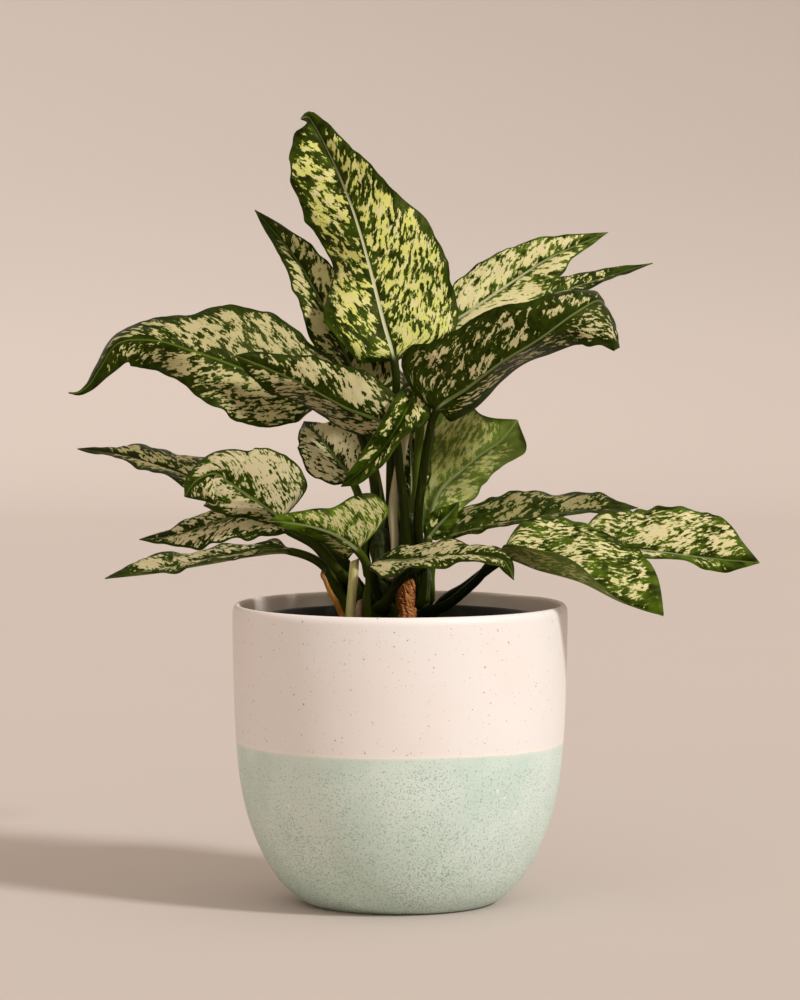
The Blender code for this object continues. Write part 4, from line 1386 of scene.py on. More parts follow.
@dataclass
class Foliage:
    """All the leaves, each a closed skin that runs from the petiole's foot to the blade's tip."""

    canes: dict[str, Cane]
    petiole_rows: int = 30
    blade_rows: int = 100
    outline_at: list[float] = field(default_factory=lambda: [0.1, 0.25, 0.42, 0.6, 0.78, 0.92])
    half_across: list[float] = field(default_factory=lambda: [
        0.015, 0.032, 0.055, 0.085, 0.13, 0.19, 0.26, 0.34, 0.42, 0.5, 0.58, 0.66, 0.74, 0.82, 0.89,
        0.95, 0.985, 1.0])
    round_base: float = 0.6
    blade_thick: float = 0.7
    margin_thick: float = 0.38
    blade_opens: float = 0.08
    full_reach: float = 12.0
    wave_offset: float = 0.17
    frill_rate: float = 2.6
    frill_height: float = 0.45
    keel: float = 1.7
    groove: float = 0.45
    quilting: float = 0.30
    side_veins: int = 8
    vein_sweep: float = 1.6
    vein_curve: float = 0.012
    ragged_step: float = 17.0
    ragged_reach: float = 2.6
    ragged_lift: float = 2.4
    petiole_foot: float = 3.0
    petiole_neck: float = 2.3
    tip_radius: float = 0.35
    left_apart: float = 1.6
    leaf_apart: float = 3.7
    gap: float = 0.3
    seat_out: float = 1.5
    seat_rise: float = 12.0

    def __post_init__(self) -> None:
        """Works out the stations that all leaves share."""
        half = np.array(self.half_across)
        self.across = np.concatenate([-half[::-1], [0.0], half])
        self.along_petiole = np.linspace(0, 1, self.petiole_rows, endpoint=False)
        steady = np.linspace(0, 1, self.blade_rows)
        self.along = steady * 0.985 + 0.012 * ease(steady)

    def line(self, plan: LeafPlan) -> tuple[np.ndarray, np.ndarray, float]:
        """The run of a leaf.

        Args:
            plan: the leaf.

        Returns:
            Its places and directions from foot to tip, and the blade's length.
        """
        cane = self.canes[plan.cane]
        height, bearing = plan.seat
        out = self.outward(bearing)
        seat = cane.centre(height) + out * (cane.radius * cane.ring + self.petiole_foot + self.gap)
        rise = seat + out * self.seat_out + [0, 0, self.seat_rise]
        points = np.array([seat, rise, *plan.petiole, *plan.midrib], float)
        reach = run_length(points)
        neck = reach[2 + len(plan.petiole)]
        length = reach[-1] - neck
        at = np.concatenate([self.along_petiole * neck, neck + self.along * length])
        step = 0.01 * reach[-1]
        ahead = smooth(reach, points, np.minimum(at + step, reach[-1]))
        behind = smooth(reach, points, np.maximum(at - step, 0))
        return smooth(reach, points, at), unit(ahead - behind), length

    @staticmethod
    def outward(bearing: float) -> np.ndarray:
        """The level direction of a bearing."""
        return np.array([math.cos(math.radians(bearing)), math.sin(math.radians(bearing)), 0.0])

    def margins(self, outline: Outline) -> tuple[np.ndarray, np.ndarray]:
        """Follows the margin of one half of a blade.

        Args:
            outline: its reach and lift at the plan's stations.

        Returns:
            Its reach and its lift at the blade's stations.
        """
        knots = np.array([0.0, *self.outline_at, 1.0]) ** self.round_base
        found = smooth(knots, [(0, 0), *outline, (0, 0)], self.along ** self.round_base)
        floor = self.petiole_neck + (self.tip_radius - self.petiole_neck) * self.along
        return np.maximum(found[:, 0], floor), found[:, 1]

    def circles(self, spine: Spine, radii: np.ndarray) -> np.ndarray:
        """Round sections, from the left over the top to the right and back under.

        Args:
            spine: the run that they stand on.
            radii: their radii.

        Returns:
            One row of points for each section.
        """
        count = 2 * len(self.across)
        turn = math.pi - (np.arange(count) + 0.5) * TURN / count
        ring = (np.cos(turn)[None, :, None] * spine.rightward[:, None]
                + np.sin(turn)[None, :, None] * spine.upward[:, None])
        return spine.places[:, None] + radii[:, None, None] * ring

    def petiole(self, plan: LeafPlan, spine: Spine) -> np.ndarray:
        """The petiole's sections, which widen at the foot into a sheath that clasps the cane.

        Args:
            plan: the leaf.
            spine: the petiole's run.

        Returns:
            One row of points for each section.
        """
        places, ahead = spine.places, spine.ahead
        radii = np.interp(self.along_petiole, [0, 1], [self.petiole_foot, self.petiole_neck])
        sections = self.circles(spine, radii)
        out = self.outward(plan.seat[1])
        outs = unit(out - ahead * (ahead @ out)[:, None])
        aside = np.cross(ahead, outs)
        offsets = sections - places[:, None]
        wide = np.einsum("rkc,rc->rk", offsets, aside)
        deep = np.einsum("rkc,rc->rk", offsets, outs)
        clasp = ease(1.0 - self.along_petiole / 0.4)[:, None]
        wider = wide * (1 + 0.75 * clasp)
        wrapped = deep * (1 - 0.35 * clasp) - clasp * (wider ** 2 / 13.0 + 0.4)
        return places[:, None] + wider[..., None] * aside[:, None] + wrapped[..., None] * outs[:, None]

    def edges(self, plan: LeafPlan, number: int, length: float) -> Edges:
        """The margins of both halves of a blade, waved and ragged.

        Args:
            plan: the leaf.
            number: the leaf's own number, which sets its ragged margin apart from the others'.
            length: the blade's length.

        Returns:
            The margins at every station.
        """
        t = self.along[:, None]
        share = self.across[None, :]
        u, side = np.abs(share), np.sign(share)
        left, right = self.margins(plan.left), self.margins(plan.right)
        reach = np.where(side > 0, right[0][:, None], left[0][:, None])
        lift = np.where(side > 0, right[1][:, None], left[1][:, None])
        height, waves, phase = plan.ripple
        size = np.minimum(1.0, reach / self.full_reach)
        wave = height * size * np.sin(TURN * (waves * t + phase + self.wave_offset * side))
        finer = self.frill_rate * waves * t + 1.7 * phase + 0.31 * side + 0.13 * reach / 10
        frill = self.frill_height * size * np.sin(TURN * finer)
        run = np.stack([t * length + 0 * side, side * 40.0 + 0 * t, 0 * t * side + 97.0 * number], axis=-1)
        ragged = lumps(run, self.ragged_step, 3) * size * ease(t * 8) * ease((1 - t) * 8)
        reach = reach + self.ragged_reach * ragged * ease((reach - 4) / 8)
        frill = frill + self.ragged_lift * lumps(run + 31.0, self.ragged_step, 2) * size
        return Edges(t, u, side, reach, lift, size, wave, frill)

    def blade(self, plan: LeafPlan, number: int, spine: Spine,
              length: float) -> tuple[np.ndarray, dict[str, np.ndarray]]:
        """The blade's sections, and what its material has to know about each point.

        Args:
            plan: the leaf.
            number: the leaf's own number.
            spine: the midrib's run.
            length: the blade's length.

        Returns:
            The sections, and the notes for the top stations by name.
        """
        places, ahead, upward, rightward = spine
        t, u, side, reach, lift, size, wave, frill = self.edges(plan, number, length)
        back = plan.lobe * size * u ** 1.5 * (1 - t) ** 4
        out = u * np.hypot(reach, np.minimum(np.abs(lift), 30.0))
        origin = t * length - back - self.vein_sweep * out - self.vein_curve * out ** 2
        pitch = length / self.side_veins
        swell = self.quilting * size * np.cos(TURN * origin / pitch) * np.sqrt(np.clip(4 * u * (1 - u), 0, 1))
        rise = lift * u + 4 * plan.arch * size * u * (1 - u) + wave * u ** 2 + frill * u ** 4 + swell
        slope = np.where(u > 0, (lift + 4 * plan.arch * size * (1 - 2 * u) + 2 * wave * u
                                 + 4 * frill * u ** 3) / reach, 0.0)
        slant = math.hypot(1.0, self.vein_sweep)
        along_vein = (out + self.vein_sweep * (t * length - back)) / slant
        up, aside = upward[:, None], rightward[:, None]
        middle = (places[:, None] + (side * u * reach)[..., None] * aside + rise[..., None] * up
                  - back[..., None] * ahead[:, None])
        normal = unit(up - (side * slope)[..., None] * aside)
        thick = self.blade_thick + (self.margin_thick - self.blade_thick) * u
        fade = np.minimum(1.0, reach / 6.0)
        dip = self.groove * fade * np.exp(-(out / 1.1) ** 2)
        ridge = self.keel * (1 - 0.8 * t) * fade * np.exp(-(out / 1.5) ** 2)
        top = middle + normal * (thick / 2 - dip)[..., None]
        under = middle - normal * (thick / 2)[..., None] - ridge[..., None] * up
        skin = np.concatenate([top, under[:, ::-1]], axis=1)
        neck = self.circles(spine, np.full(len(places), self.petiole_neck))
        part = ease(self.along / self.blade_opens)[:, None, None]
        notes = {
            "vein": np.stack([along_vein / 10, origin / slant / 10,
                              np.where(side < 0, self.left_apart, 0.0) + 0 * out], axis=-1),
            "zone": np.stack([out / np.maximum(u, 1e-6) * (1 - u) * (u > 0) + reach * (u == 0), out,
                              np.broadcast_to(t, out.shape)], axis=-1),
        }
        return part * skin + (1 - part) * neck, notes

    def notes(self, plan: LeafPlan, number: int, blade: dict[str, np.ndarray]) -> dict[str, np.ndarray]:
        """The notes of a whole leaf.

        Args:
            plan: the leaf.
            number: the leaf's own number, which sets its pattern apart from the others'.
            blade: the notes for the blade's top stations.

        Returns:
            Notes for every point, by name.
        """
        rows, count = self.petiole_rows + self.blade_rows, 2 * len(self.across)
        both = {name: np.concatenate([values, values[:, ::-1]], axis=1) for name, values in blade.items()}
        lead = {name: np.repeat(values[:1], self.petiole_rows, axis=0) for name, values in both.items()}
        whole = {name: np.concatenate([lead[name], both[name]]) for name in both}
        whole["vein"][..., 2] += number * self.leaf_apart
        look = plan.look
        shape = (rows, count, 3)
        whole["tone"] = np.broadcast_to([look.green, look.yellow, look.rib], shape)
        whole["light"] = np.broadcast_to([look.bright, look.fresh, look.fine], shape)
        whole["part"] = part = np.zeros(shape)
        part[self.petiole_rows:, :, 0] = ease((self.along - 0.005) / 0.05)[:, None]
        part[:, count // 2:, 1] = 1.0
        part[..., 2] = look.petiole
        return whole

    def build_leaf(self, plan: LeafPlan, number: int, finish: bpy.types.Material) -> None:
        """Makes one leaf.

        Args:
            plan: the leaf.
            number: the leaf's own number.
            finish: the leaves' material.
        """
        places, ahead, length = self.line(plan)
        first = self.petiole_rows
        upward = np.empty_like(places)
        upward[first:] = smooth(np.linspace(0, 1, len(plan.facing)), plan.facing, self.along)
        upward[:first] = upward[first]
        upward = unit(upward - ahead * np.sum(upward * ahead, axis=1, keepdims=True))
        spine = Spine(places, ahead, upward, np.cross(ahead, upward))
        petiole = self.petiole(plan, Spine(*(part[:first] for part in spine)))
        blade, notes = self.blade(plan, number, Spine(*(part[first:] for part in spine)), length)
        root = petiole[:1] - self.outward(plan.seat[1]) * 1.6 - [0, 0, 3.0]
        root = root.mean(axis=1, keepdims=True) + (root - root.mean(axis=1, keepdims=True)) * 0.7
        notes = self.notes(plan, number, notes)
        notes = {name: np.concatenate([values[:1], values]) for name, values in notes.items()}
        sections = np.concatenate([root, petiole, blade])
        obj = Workbench.wrapped(plan.name.replace("leaf_", "blade_"), sections, notes)
        Workbench.smoothed(obj)
        place(obj, finish, Slot.LEAF, plan.name)

    def build(self, plans: list[LeafPlan], finish: LeafTissue) -> None:
        """Makes every leaf in the one material.

        Args:
            plans: the leaves.
            finish: their tissue.
        """
        tissue = finish.material()
        for number, plan in enumerate(plans):
            self.build_leaf(plan, number, tissue)


@dataclass
class Studio:
    """The pale floor, the light and the camera at the photograph's viewing angle."""

    camera_place: Point = (0.0, -2.5, 0.383)
    camera_pitch: float = 3.53
    lens: float = 159.2
    floor_radius: float = 4.2
    wall_height: float = 1.3
    floor_colour: Colour = (0.58, 0.52, 0.475)
    wall_colour: Colour = (0.485, 0.437, 0.40)
    key_bearing: float = -37.0
    key_rise: float = 34.0
    key_strength: float = 2.35
    front_bearing: float = -97.0
    front_rise: float = 18.0
    front_strength: float = 0.5

    def camera(self) -> None:
        """Adds the camera."""
        bpy.ops.object.camera_add(location=self.camera_place,
                                  rotation=(math.radians(90 - self.camera_pitch), 0, 0))
        camera = bpy.context.object
        camera.name = "camera"
        camera.data.lens = self.lens
        camera.data.sensor_width = 36.0
        camera.data.clip_end = 30.0
        bpy.context.scene.camera = camera

    def floor(self) -> None:
        """Adds a round floor that sweeps up into a pale wall all round."""
        turn = np.linspace(0, math.pi / 2, 14)
        bend = 0.9
        flat = self.floor_radius - bend
        rows = [(wide, 0.0) for wide in (0.0, 0.4, 1.0, 2.0, flat)]
        rows += [(flat + bend * math.sin(angle), bend - bend * math.cos(angle)) for angle in turn[1:]]
        rows += [(self.floor_radius, self.wall_height)]
        obj = Workbench.turned("studio_floor", [(wide / MM, high / MM) for wide, high in rows], 96)
        Workbench.smoothed(obj)
        material = bpy.data.materials.new("pale_paint")
        material.use_nodes = True
        wires = Wiring(material.node_tree)
        cloud = wires.noise(wires.spot(), 1.5, 3.0)
        warm = tuple(channel * 0.96 for channel in self.floor_colour)
        colour = wires.mix(cloud, self.floor_colour, warm)
        height = wires.parts(wires.spot())[2]
        colour = wires.mix(wires.remap(height, 0.0, 0.5), colour, self.wall_colour)
        shader = material.node_tree.nodes["Principled BSDF"]
        shader.inputs["Roughness"].default_value = 0.9
        shader.inputs["Specular IOR Level"].default_value = 0.1
        wires.tree.links.new(colour, shader.inputs["Base Color"])
        obj.data.materials.append(material)

    def lamp(self, name: str, bearing: float, rise: float, strength: float, angle: float,
             colour: Colour) -> None:
        """Adds a far soft light.

        Args:
            name: its name.
            bearing: where it stands, in degrees, with 0 at +X and 90 away from the viewer.
            rise: how high it stands, in degrees.
            strength: its strength.
            angle: how wide it looks, in degrees.
            colour: its colour.
        """
        bearing, rise = math.radians(bearing), math.radians(rise)
        towards = Vector((math.cos(bearing) * math.cos(rise), math.sin(bearing) * math.cos(rise),
                          math.sin(rise)))
        bpy.ops.object.light_add(type="SUN", location=towards * 2.0)
        lamp = bpy.context.object
        lamp.name = name
        lamp.rotation_euler = towards.to_track_quat("Z", "Y").to_euler()
        lamp.data.energy = strength
        lamp.data.angle = math.radians(angle)
        lamp.data.color = colour

    def light(self) -> None:
        """Adds the key from the right, a weak wide light from the front and the room's warm light."""
        self.lamp("key_light", self.key_bearing, self.key_rise, self.key_strength, 9.0, (1.0, 0.99, 0.98))
        self.lamp("front_light", self.front_bearing, self.front_rise, self.front_strength, 60.0,
                  (1.0, 0.93, 0.87))
        world = bpy.data.worlds.new("room_light")
        world.use_nodes = True
        background = world.node_tree.nodes["Background"]
        background.inputs["Color"].default_value = (1.0, 0.85, 0.745, 1.0)
        background.inputs["Strength"].default_value = 0.71
        bpy.context.scene.world = world
        bpy.context.scene.view_settings.view_transform = "Standard"


def even(reach: float, lift: float) -> Outline:
    """A plain half-blade outline.

    Args:
        reach: its greatest width.
        lift: how far its margin stands above the midrib there.

    Returns:
        The margin's reach and lift at each station.
    """
    return [(reach * a, lift * b) for a, b in
            [(0.66, 0.4), (0.95, 0.8), (1.0, 1.0), (0.84, 0.9), (0.5, 0.6), (0.2, 0.2)]]


CRUMBS = [
    Crumbs("bark_crumbs", count=620, sizes=(0.8, 3.4), flatness=0.45, fineness=1, sharpness=0.22, seed=5,
           sunk=0.3),
    Crumbs("perlite_crumbs", count=46, sizes=(0.7, 2.0), flatness=0.8, fineness=2, sharpness=0.16, seed=8,
           sunk=0.25),
]

CANES = [
    Cane("cane_left_front", (-11.5, -4.0), 4.8, 214.0, (1.0, 2.0)),
    Cane("cane_right_front", (4.0, -3.0), 5.0, 222.0, (1.5, 1.0)),
    Cane("cane_back", (-3.0, 21.0), 5.2, 218.0, (0.0, 0.5)),
    Cane("cane_left", (-24.0, 9.0), 4.6, 186.0, (-3.0, 1.0)),
    Cane("cane_right", (12.0, 14.0), 4.4, 190.0, (2.0, 0.0)),
]

STALKS = [
    Stalk("pale_stalk", [(-29.5, -18, 138), (-29, -18, 158), (-27, -17.5, 178), (-25.5, -17, 196)],
          2.7, 2.6, Slot.PALE_STALK, slant=0.5, shrivel=0.03),
    Stalk("dry_stalk", [(-26, -26, 136), (-31, -24, 160), (-36.5, -21, 173), (-42, -19, 184),
                        (-43.6, -18.5, 188.5), (-41.6, -18.2, 191)], 1.8, 1.0, Slot.DRY_STALK, shrivel=0.10),
    Stalk("cut_stub", [(-26, -5, 140), (-24.5, -5, 158), (-23, -5, 166), (-20.5, -5, 173)],
          2.6, 2.8, Slot.CUT_STUB, slant=0.7, shrivel=0.05),
]

LEAVES = [
    LeafPlan("leaf_top", "cane_left_front", (178, 70),
             [(-6, 6, 214), (-5, 4, 257)],
             [(-3, 8, 306), (-9, 10, 328), (-18, 16, 363), (-28, 26, 396), (-40, 36, 424), (-49, 40, 441),
              (-52.5, 38.5, 446), (-57, 35, 444.5)],
             [(0.1, -1, 0.15), (-0.2, -1, 0.2)],
             left=[(23, 4), (31, 2), (20, -14), (27, -4), (25, 3), (15, 2)],
             right=[(40, -6), (43, -10), (41, -5), (26, 3), (13, 5), (7, 2)], lobe=8.0,
             look=LeafLook(0.47, 0.85, 1.0, 0.12, 1.0, 0.3, 0.15)),
    LeafPlan("leaf_upper_left", "cane_back", (196, 215),
             [(-14, 20, 238), (-18, 22, 264)],
             [(-22, 26, 287), (-34, 30, 316), (-46, 36, 341), (-58, 44, 362), (-70, 52, 377), (-84, 60, 393)],
             [(0.3, -0.95, 0.25)],
             left=[(13, 3), (17, 6), (16, 7), (12, 6), (7, 3), (3, 1)],
             right=[(25, 3), (24, 6), (20, 7), (14, 6), (9, 3), (4, 1)], lobe=13.0,
             look=LeafLook(0.36, 0.4, 0.1, 0.2, 0.6, 0.1, 0.2)),
    LeafPlan("leaf_left_large", "cane_left_front", (186, 165),
             [(-14, 2, 226), (-19, 5, 256)],
             [(-31, 4, 281), (-62, -6, 292), (-90, -14, 304), (-117, -20, 314), (-140, -24, 320),
              (-158, -26, 318), (-168, -26, 304), (-175.5, -26, 293.5), (-180, -26, 290.5),
              (-186, -25, 290.5)],
             [(-0.1, -0.95, 0.4)],
             left=[(5, -12), (26, -8), (28, 2), (11, -16), (11, -6), (3, -2)],
             right=[(28, -4), (37, -6), (36, -4), (21, -10), (8, -9), (3, -3)],
             look=LeafLook(0.47, 0.25, 0.0, 0.1, 0.51, 0.08, 0.2)),
    LeafPlan("leaf_cream_left", "cane_right_front", (188, -100),
             [(3, -12, 212), (0, -11, 245)],
             [(-4, -14, 268), (-31, -24, 282), (-56, -32, 296), (-77, -38, 306), (-92, -42, 312)],
             [(0, -0.95, 0.3)],
             left=[(10, -10), (6, -20), (5, -20), (7, -16), (9, -8), (5, -3)],
             right=[(16, 2), (24, 2), (21, 4), (17, 3), (10, 2), (5, 1)],
             look=LeafLook(0.36, 0.15, 0.1, 0.0, 0.56, 0.08, 0.35)),
    LeafPlan("leaf_right_large", "cane_right_front", (170, -10),
             [(10, -12, 216), (12.5, -14, 241), (16, -15, 264)],
             [(20, -16, 279), (38, -24, 293), (56, -32, 307), (78, -38, 321), (97, -38, 335), (110, -27, 342),
              (115, -10, 339), (115, 4, 333)],
             [(-0.1, -1, 0.3), (-0.1, -1, 0.25), (0, -1, 0.3), (0.6, -0.7, 0.5), (1, 0, 0.6)],
             left=[(35, 8), (31, 6), (28, 5), (20, 0), (8, -2), (4, 0)],
             right=[(9, -14), (4, -20), (3, -23), (13, -16), (27, -6), (20, -2)], lobe=18.0,
             look=LeafLook(0.74, 0.15, 0.15, 0.0, 0.68, 0.12, 0.35)),
    LeafPlan("leaf_upper_right", "cane_right_front", (200, 60),
             [(10, 14, 240), (13, 22, 290)],
             [(16, 28, 316), (42, 38, 336), (64, 48, 351), (88, 58, 366), (104, 65, 373), (121, 72, 380)],
             [(-0.1, -0.85, 0.5)],
             left=[(8, 2), (17, 3), (21, 2), (18, 4), (9, 2), (4, 1)],
             right=[(8, 2), (17, 2), (22, 0), (18, 2), (8, 2), (3, 1)],
             look=LeafLook(0.17, 0.3, 0.75, 0.5, 0.95, 0.75, 0.15)),
    LeafPlan("leaf_right_slim", "cane_right", (180, 125),
             [(5, 33, 214), (9, 46, 244), (21, 54, 272), (38, 58, 302)],
             [(60, 66, 330), (80, 70, 340), (100, 78, 347), (122, 86, 354), (148, 92, 362)],
             [(0, -0.5, 0.85)],
             left=even(10, 3), right=even(10, 3),
             look=LeafLook(0.46, 0.6, 0.3, 0.4, 1.0, 0.25, 0.7)),
    LeafPlan("leaf_right_underside", "cane_right", (170, 62),
             [(18, 24, 194)],
             [(16, 30, 206), (23, 36, 232), (36, 42, 244), (46, 46, 252), (58, 50, 260), (68, 54, 272)],
             [(-0.2, 1, 0.2)],
             left=[(12, 3), (19, 5), (22, 6), (19, 5), (15, 3), (12, 1)],
             right=[(6, 2), (16, 4), (32, 6), (38, 4), (27, 3), (10, 1)],
             look=LeafLook(0.58, 0.6, 0.4, 0.3, 1.0, 0.8, 0.2)),
    LeafPlan("leaf_centre_low", "cane_right", (172, -100),
             [(14, 7, 192)],
             [(16, 9, 206), (21, 10, 213), (27, 12, 219), (34, 14, 227)],
             [(0.5, -0.8, 0.3)],
             left=even(8, 1), right=even(7, 2), lobe=2,
             look=LeafLook(0.6, 0.5, 0.2, 0.3, 0.9, 0.5, 0.1)),
    LeafPlan("leaf_behind_left", "cane_back", (178, 172),
             [(-17, 24, 205)],
             [(-27, 32, 237), (-37, 44, 250), (-47, 60, 262), (-56, 76, 270)],
             [(0.1, -0.9, 0.5)],
             left=even(20, 3), right=even(18, 3),
             look=LeafLook(0.13, 0.1, 0.1, 0.3, 1.0, 0.05, 0.45)),
    LeafPlan("leaf_centre_twist", "cane_left_front", (186, -20),
             [(-4, -7, 222), (0, -3, 250), (6, 3, 279)],
             [(9, 1, 292), (4, -10, 281), (-2, -20, 270), (-9, -29, 260), (-20, -36, 249), (-33, -39, 238.5)],
             [(0, -0.6, 0.8), (-0.1, -0.9, 0.35), (-0.3, -0.9, 0.3)],
             left=[(11, 0), (13, 2), (11, 7), (8, 10), (9, 8), (6, 3)],
             right=[(5, 6), (6, 12), (6, 14), (6, 12), (4, 8), (2, 3)],
             look=LeafLook(0.68, 0.45, 0.0, 0.8, 0.9, 0.3, 0.3)),
    LeafPlan("leaf_left_high", "cane_left", (176, 120),
             [(-36, 18, 196), (-56, 22, 213)],
             [(-84, 28, 226), (-104, 34, 232), (-124, 41, 240), (-146, 48, 247), (-168, 53, 252),
              (-187, 56, 255)],
             [(0, -0.25, 0.97)],
             left=[(10, 1), (16, 2), (18, 3), (15, 2), (9, 1), (4, 0)],
             right=[(12, 3), (22, 4), (24, 4), (20, 4), (12, 2), (5, 1)],
             look=LeafLook(0.44, 0.4, 0.2, 0.2, 0.9, 0.15, 0.25)),
    LeafPlan("leaf_left_cream", "cane_left", (166, -80),
             [(-34, -7, 188), (-45, -9, 202)],
             [(-66, -12, 218), (-81, -15, 229), (-95, -19, 239), (-104, -22, 245), (-113, -24, 242),
              (-121, -24, 232)],
             [(-0.1, -0.9, 0.45)],
             left=[(4, -10), (8, -10), (14, -6), (18, -4), (20, -2), (13, -1)],
             right=[(26, 2), (32, 3), (28, 3), (18, 2), (8, 1), (4, 0)], ripple=(0.5, 2.0, 0.0), lobe=9,
             look=LeafLook(0.25, 0.0, 0.1, 0.2, 0.64, 0.25, 0.7)),
    LeafPlan("leaf_left_low", "cane_left", (170, 170),
             [(-38, 8, 188), (-48, 6, 202)],
             [(-62, 4, 210), (-78, 8, 217), (-90, 10, 219), (-102, 12, 216), (-116, 14, 211), (-130, 16, 207),
              (-149, 18, 205)],
             [(0, -0.45, 0.9)],
             left=[(10, 0), (17, -4), (18, -5), (16, -4), (10, -2), (4, 0)],
             right=[(7, 2), (10, 3), (11, 3), (12, 2), (9, 1), (4, 0)],
             look=LeafLook(0.28, 0.1, 0.2, 0.2, 0.9, 0.15, 0.35)),
    LeafPlan("leaf_left_lowest", "cane_left", (160, -150),
             [(-36, 3, 178), (-43, -1, 191)],
             [(-61, -8, 200), (-84, -14, 199), (-101, -18, 196), (-118, -20, 193), (-135, -22, 190),
              (-151, -24, 188), (-166, -24, 186)],
             [(0, -0.3, 0.95)],
             left=[(8, 3), (14, 5), (16, 6), (13, 5), (8, 3), (3, 1)],
             right=[(12, 2), (16, 1), (16, 1), (15, 3), (12, 5), (5, 2)],
             look=LeafLook(0.38, 0.0, 0.4, 0.25, 0.5, 0.1, 0.8)),
    LeafPlan("leaf_front_left", "cane_left_front", (158, -140),
             [(-17, -12, 184)],
             [(-24, -26, 202), (-36, -34, 211), (-48, -42, 216), (-61, -48, 219), (-74, -50, 220)],
             [(-0.1, -0.95, 0.35)],
             left=[(8, -8), (5, -10), (4, -8), (3, -5), (3, -2), (2, 0)],
             right=[(32, -4), (28, -2), (14, 0), (9, 0), (6, 0), (3, 0)], lobe=12,
             look=LeafLook(0.52, 0.35, 0.3, 0.35, 0.5, 0.8, 1.0)),
    LeafPlan("leaf_front_right", "cane_left_front", (156, -45),
             [(-9, -12, 172), (-14, -19, 183)],
             [(-14, -26, 193), (4, -38, 197), (24, -49, 200), (45, -57, 201), (58, -60, 198), (63, -62, 188)],
             [(0, -0.35, 0.93)],
             left=[(9, 3), (14, 4), (15, 3), (13, 2), (9, 2), (4, 0)],
             right=[(12, 0), (17, -2), (15, 0), (11, 0), (9, 0), (5, 0)],
             look=LeafLook(0.25, 0.2, 0.2, 0.1, 0.64, 0.2, 0.8)),
    LeafPlan("leaf_right_mid", "cane_left_front", (155, -98),
             [(-9, -20, 171), (-1, -21, 184), (8, -19, 191), (19, -13, 196), (26, 1, 200)],
             [(27, 13, 205), (45, 20, 211), (61, 22, 214), (81, 26, 217), (98, 30, 219), (115, 32, 221),
              (137, 36, 222)],
             [(0, -0.6, 0.8)],
             left=[(14, 0), (23, 1), (25, 2), (21, 0), (14, 0), (7, 0)],
             right=[(8, 6), (14, 10), (16, 12), (14, 10), (8, 5), (4, 2)],
             look=LeafLook(0.55, 0.1, 0.0, 0.1, 0.16, 0.1, 0.35)),
    LeafPlan("leaf_right_far", "cane_right", (154, -15),
             [(38, 2, 180), (56, -4, 194), (78, -8, 205)],
             [(103, -4, 212), (124, -12, 203), (149, -18, 200), (176, -22, 197), (202, -26, 195)],
             [(0.1, -0.8, 0.6)],
             left=[(20, 0), (27, 2), (31, 0), (31, 1), (26, 0), (10, 0)],
             right=[(5, -2), (9, 0), (8, 4), (6, 4), (9, 0), (4, 0)],
             look=LeafLook(0.46, 0.25, 0.5, 0.05, 1.0, 0.7, 0.5)),
    LeafPlan("leaf_right_low", "cane_right", (150, -80),
             [(26, -4, 169), (42, -14, 183)],
             [(56, -26, 198), (78, -34, 192), (100, -40, 186), (125, -44, 174), (147, -46, 167)],
             [(0.2, -0.85, 0.5)],
             left=[(28, 0), (38, 0), (36, 1), (34, 1), (31, 0), (20, 0)],
             right=[(4, 20), (6, 30), (2, 24), (2, 10), (2, 4), (1, 1)],
             look=LeafLook(0.58, 0.3, 0.2, 0.0, 1.0, 0.8, 0.55)),
    LeafPlan("leaf_back_centre", "cane_back", (184, -60),
             [(5, 16, 210)],
             [(7, 22, 228), (6, 27, 262), (4, 50, 288), (2, 82, 298), (0, 114, 294)],
             [(0, -1, 0.2), (0, -0.2, 1)],
             left=[(10, 2), (12, 3), (18, 4), (21, 4), (14, 3), (6, 1)],
             right=[(10, 2), (12, 3), (18, 4), (21, 4), (14, 3), (6, 1)],
             look=LeafLook(0.3, 0.2, 0.3, 0.3)),
    LeafPlan("leaf_back_left", "cane_back", (196, 130),
             [(-14, 43, 240), (-26, 56, 278)],
             [(-38, 62, 296), (-54, 74, 306), (-70, 94, 310), (-84, 112, 306), (-96, 126, 296)],
             [(0.2, -0.3, 0.95)],
             left=even(28, 5), right=even(28, 5),
             look=LeafLook(0.4, 0.4, 0.4, 0.3)),
    LeafPlan("leaf_back_right", "cane_back", (200, 88),
             [(0, 44, 242), (12, 62, 282)],
             [(28, 74, 304), (42, 94, 314), (56, 114, 318), (68, 132, 314), (78, 146, 306)],
             [(-0.2, -0.3, 0.95)],
             left=even(25, 4), right=even(25, 4),
             look=LeafLook(0.35, 0.4, 0.4, 0.3)),
]


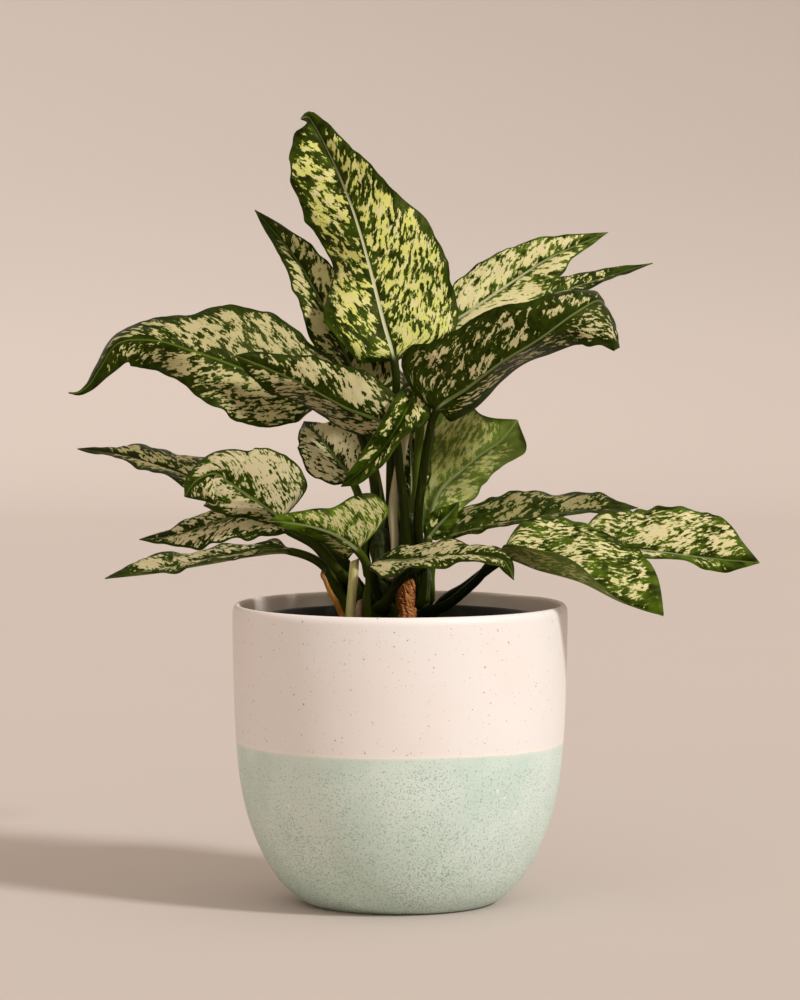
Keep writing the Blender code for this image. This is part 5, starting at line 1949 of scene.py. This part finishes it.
def main() -> None:
    """Builds the studio and every piece of the potted plant."""
    logging.basicConfig(level=logging.INFO, format="%(name)s %(message)s")
    studio = Studio()
    studio.camera()
    studio.floor()
    studio.light()
    shared = SharedGroups()
    CoverPot().build(TwoToneGlaze("two_tone_glaze", shared))
    GrowPot().build(MouldedPlastic("black_plastic", shared))
    stems = [(*cane.foot, cane.radius) for cane in CANES]
    bark = Earth("bark_chips", shared, dark=(0.02, 0.011, 0.006), light=(0.16, 0.085, 0.045),
                 roughness=0.85, depth=0.0004, by_crumb=True)
    perlite = Earth("perlite", shared, dark=(0.45, 0.42, 0.36), light=(0.78, 0.75, 0.68),
                    roughness=0.9, depth=0.0003, by_crumb=True)
    SoilBed(stems=stems).build(Earth("peat", shared), dict(zip(CRUMBS, (bark, perlite))))
    green = StemTissue("green_cane", shared, spots=(0.10, 0.10, 0.035)).material()
    for cane in CANES:
        cane.build(green)
    tissues = [
        StemTissue("pale_stalk_tissue", shared, dark=(0.36, 0.34, 0.10), light=(0.64, 0.60, 0.27),
                   scale=300.0, stretch=0.1, roughness=0.5, spots=(0.22, 0.25, 0.06)),
        StemTissue("dry_stalk_tissue", shared, dark=(0.16, 0.055, 0.004), light=(0.36, 0.15, 0.012),
                   scale=400.0, roughness=0.6, depth=0.0005, black_above=188.5),
        StemTissue("cut_stub_tissue", shared, dark=(0.24, 0.13, 0.075), light=(0.58, 0.40, 0.29), scale=350.0,
                   stretch=0.2, roughness=0.65, depth=0.0004),
    ]
    for stalk, tissue in zip(STALKS, tissues):
        stalk.build(tissue.material())
    paper = StemTissue("papery_tissue", shared, dark=(0.20, 0.055, 0.008), light=(0.68, 0.28, 0.075),
                       scale=420.0, stretch=0.35, roughness=0.24, depth=0.0006)
    DrySheath(CANES[1]).build(paper.material())
    Foliage({cane.name: cane for cane in CANES}).build(LEAVES, LeafTissue("variegated_leaf", shared))


if __name__ == "__main__":
    main()
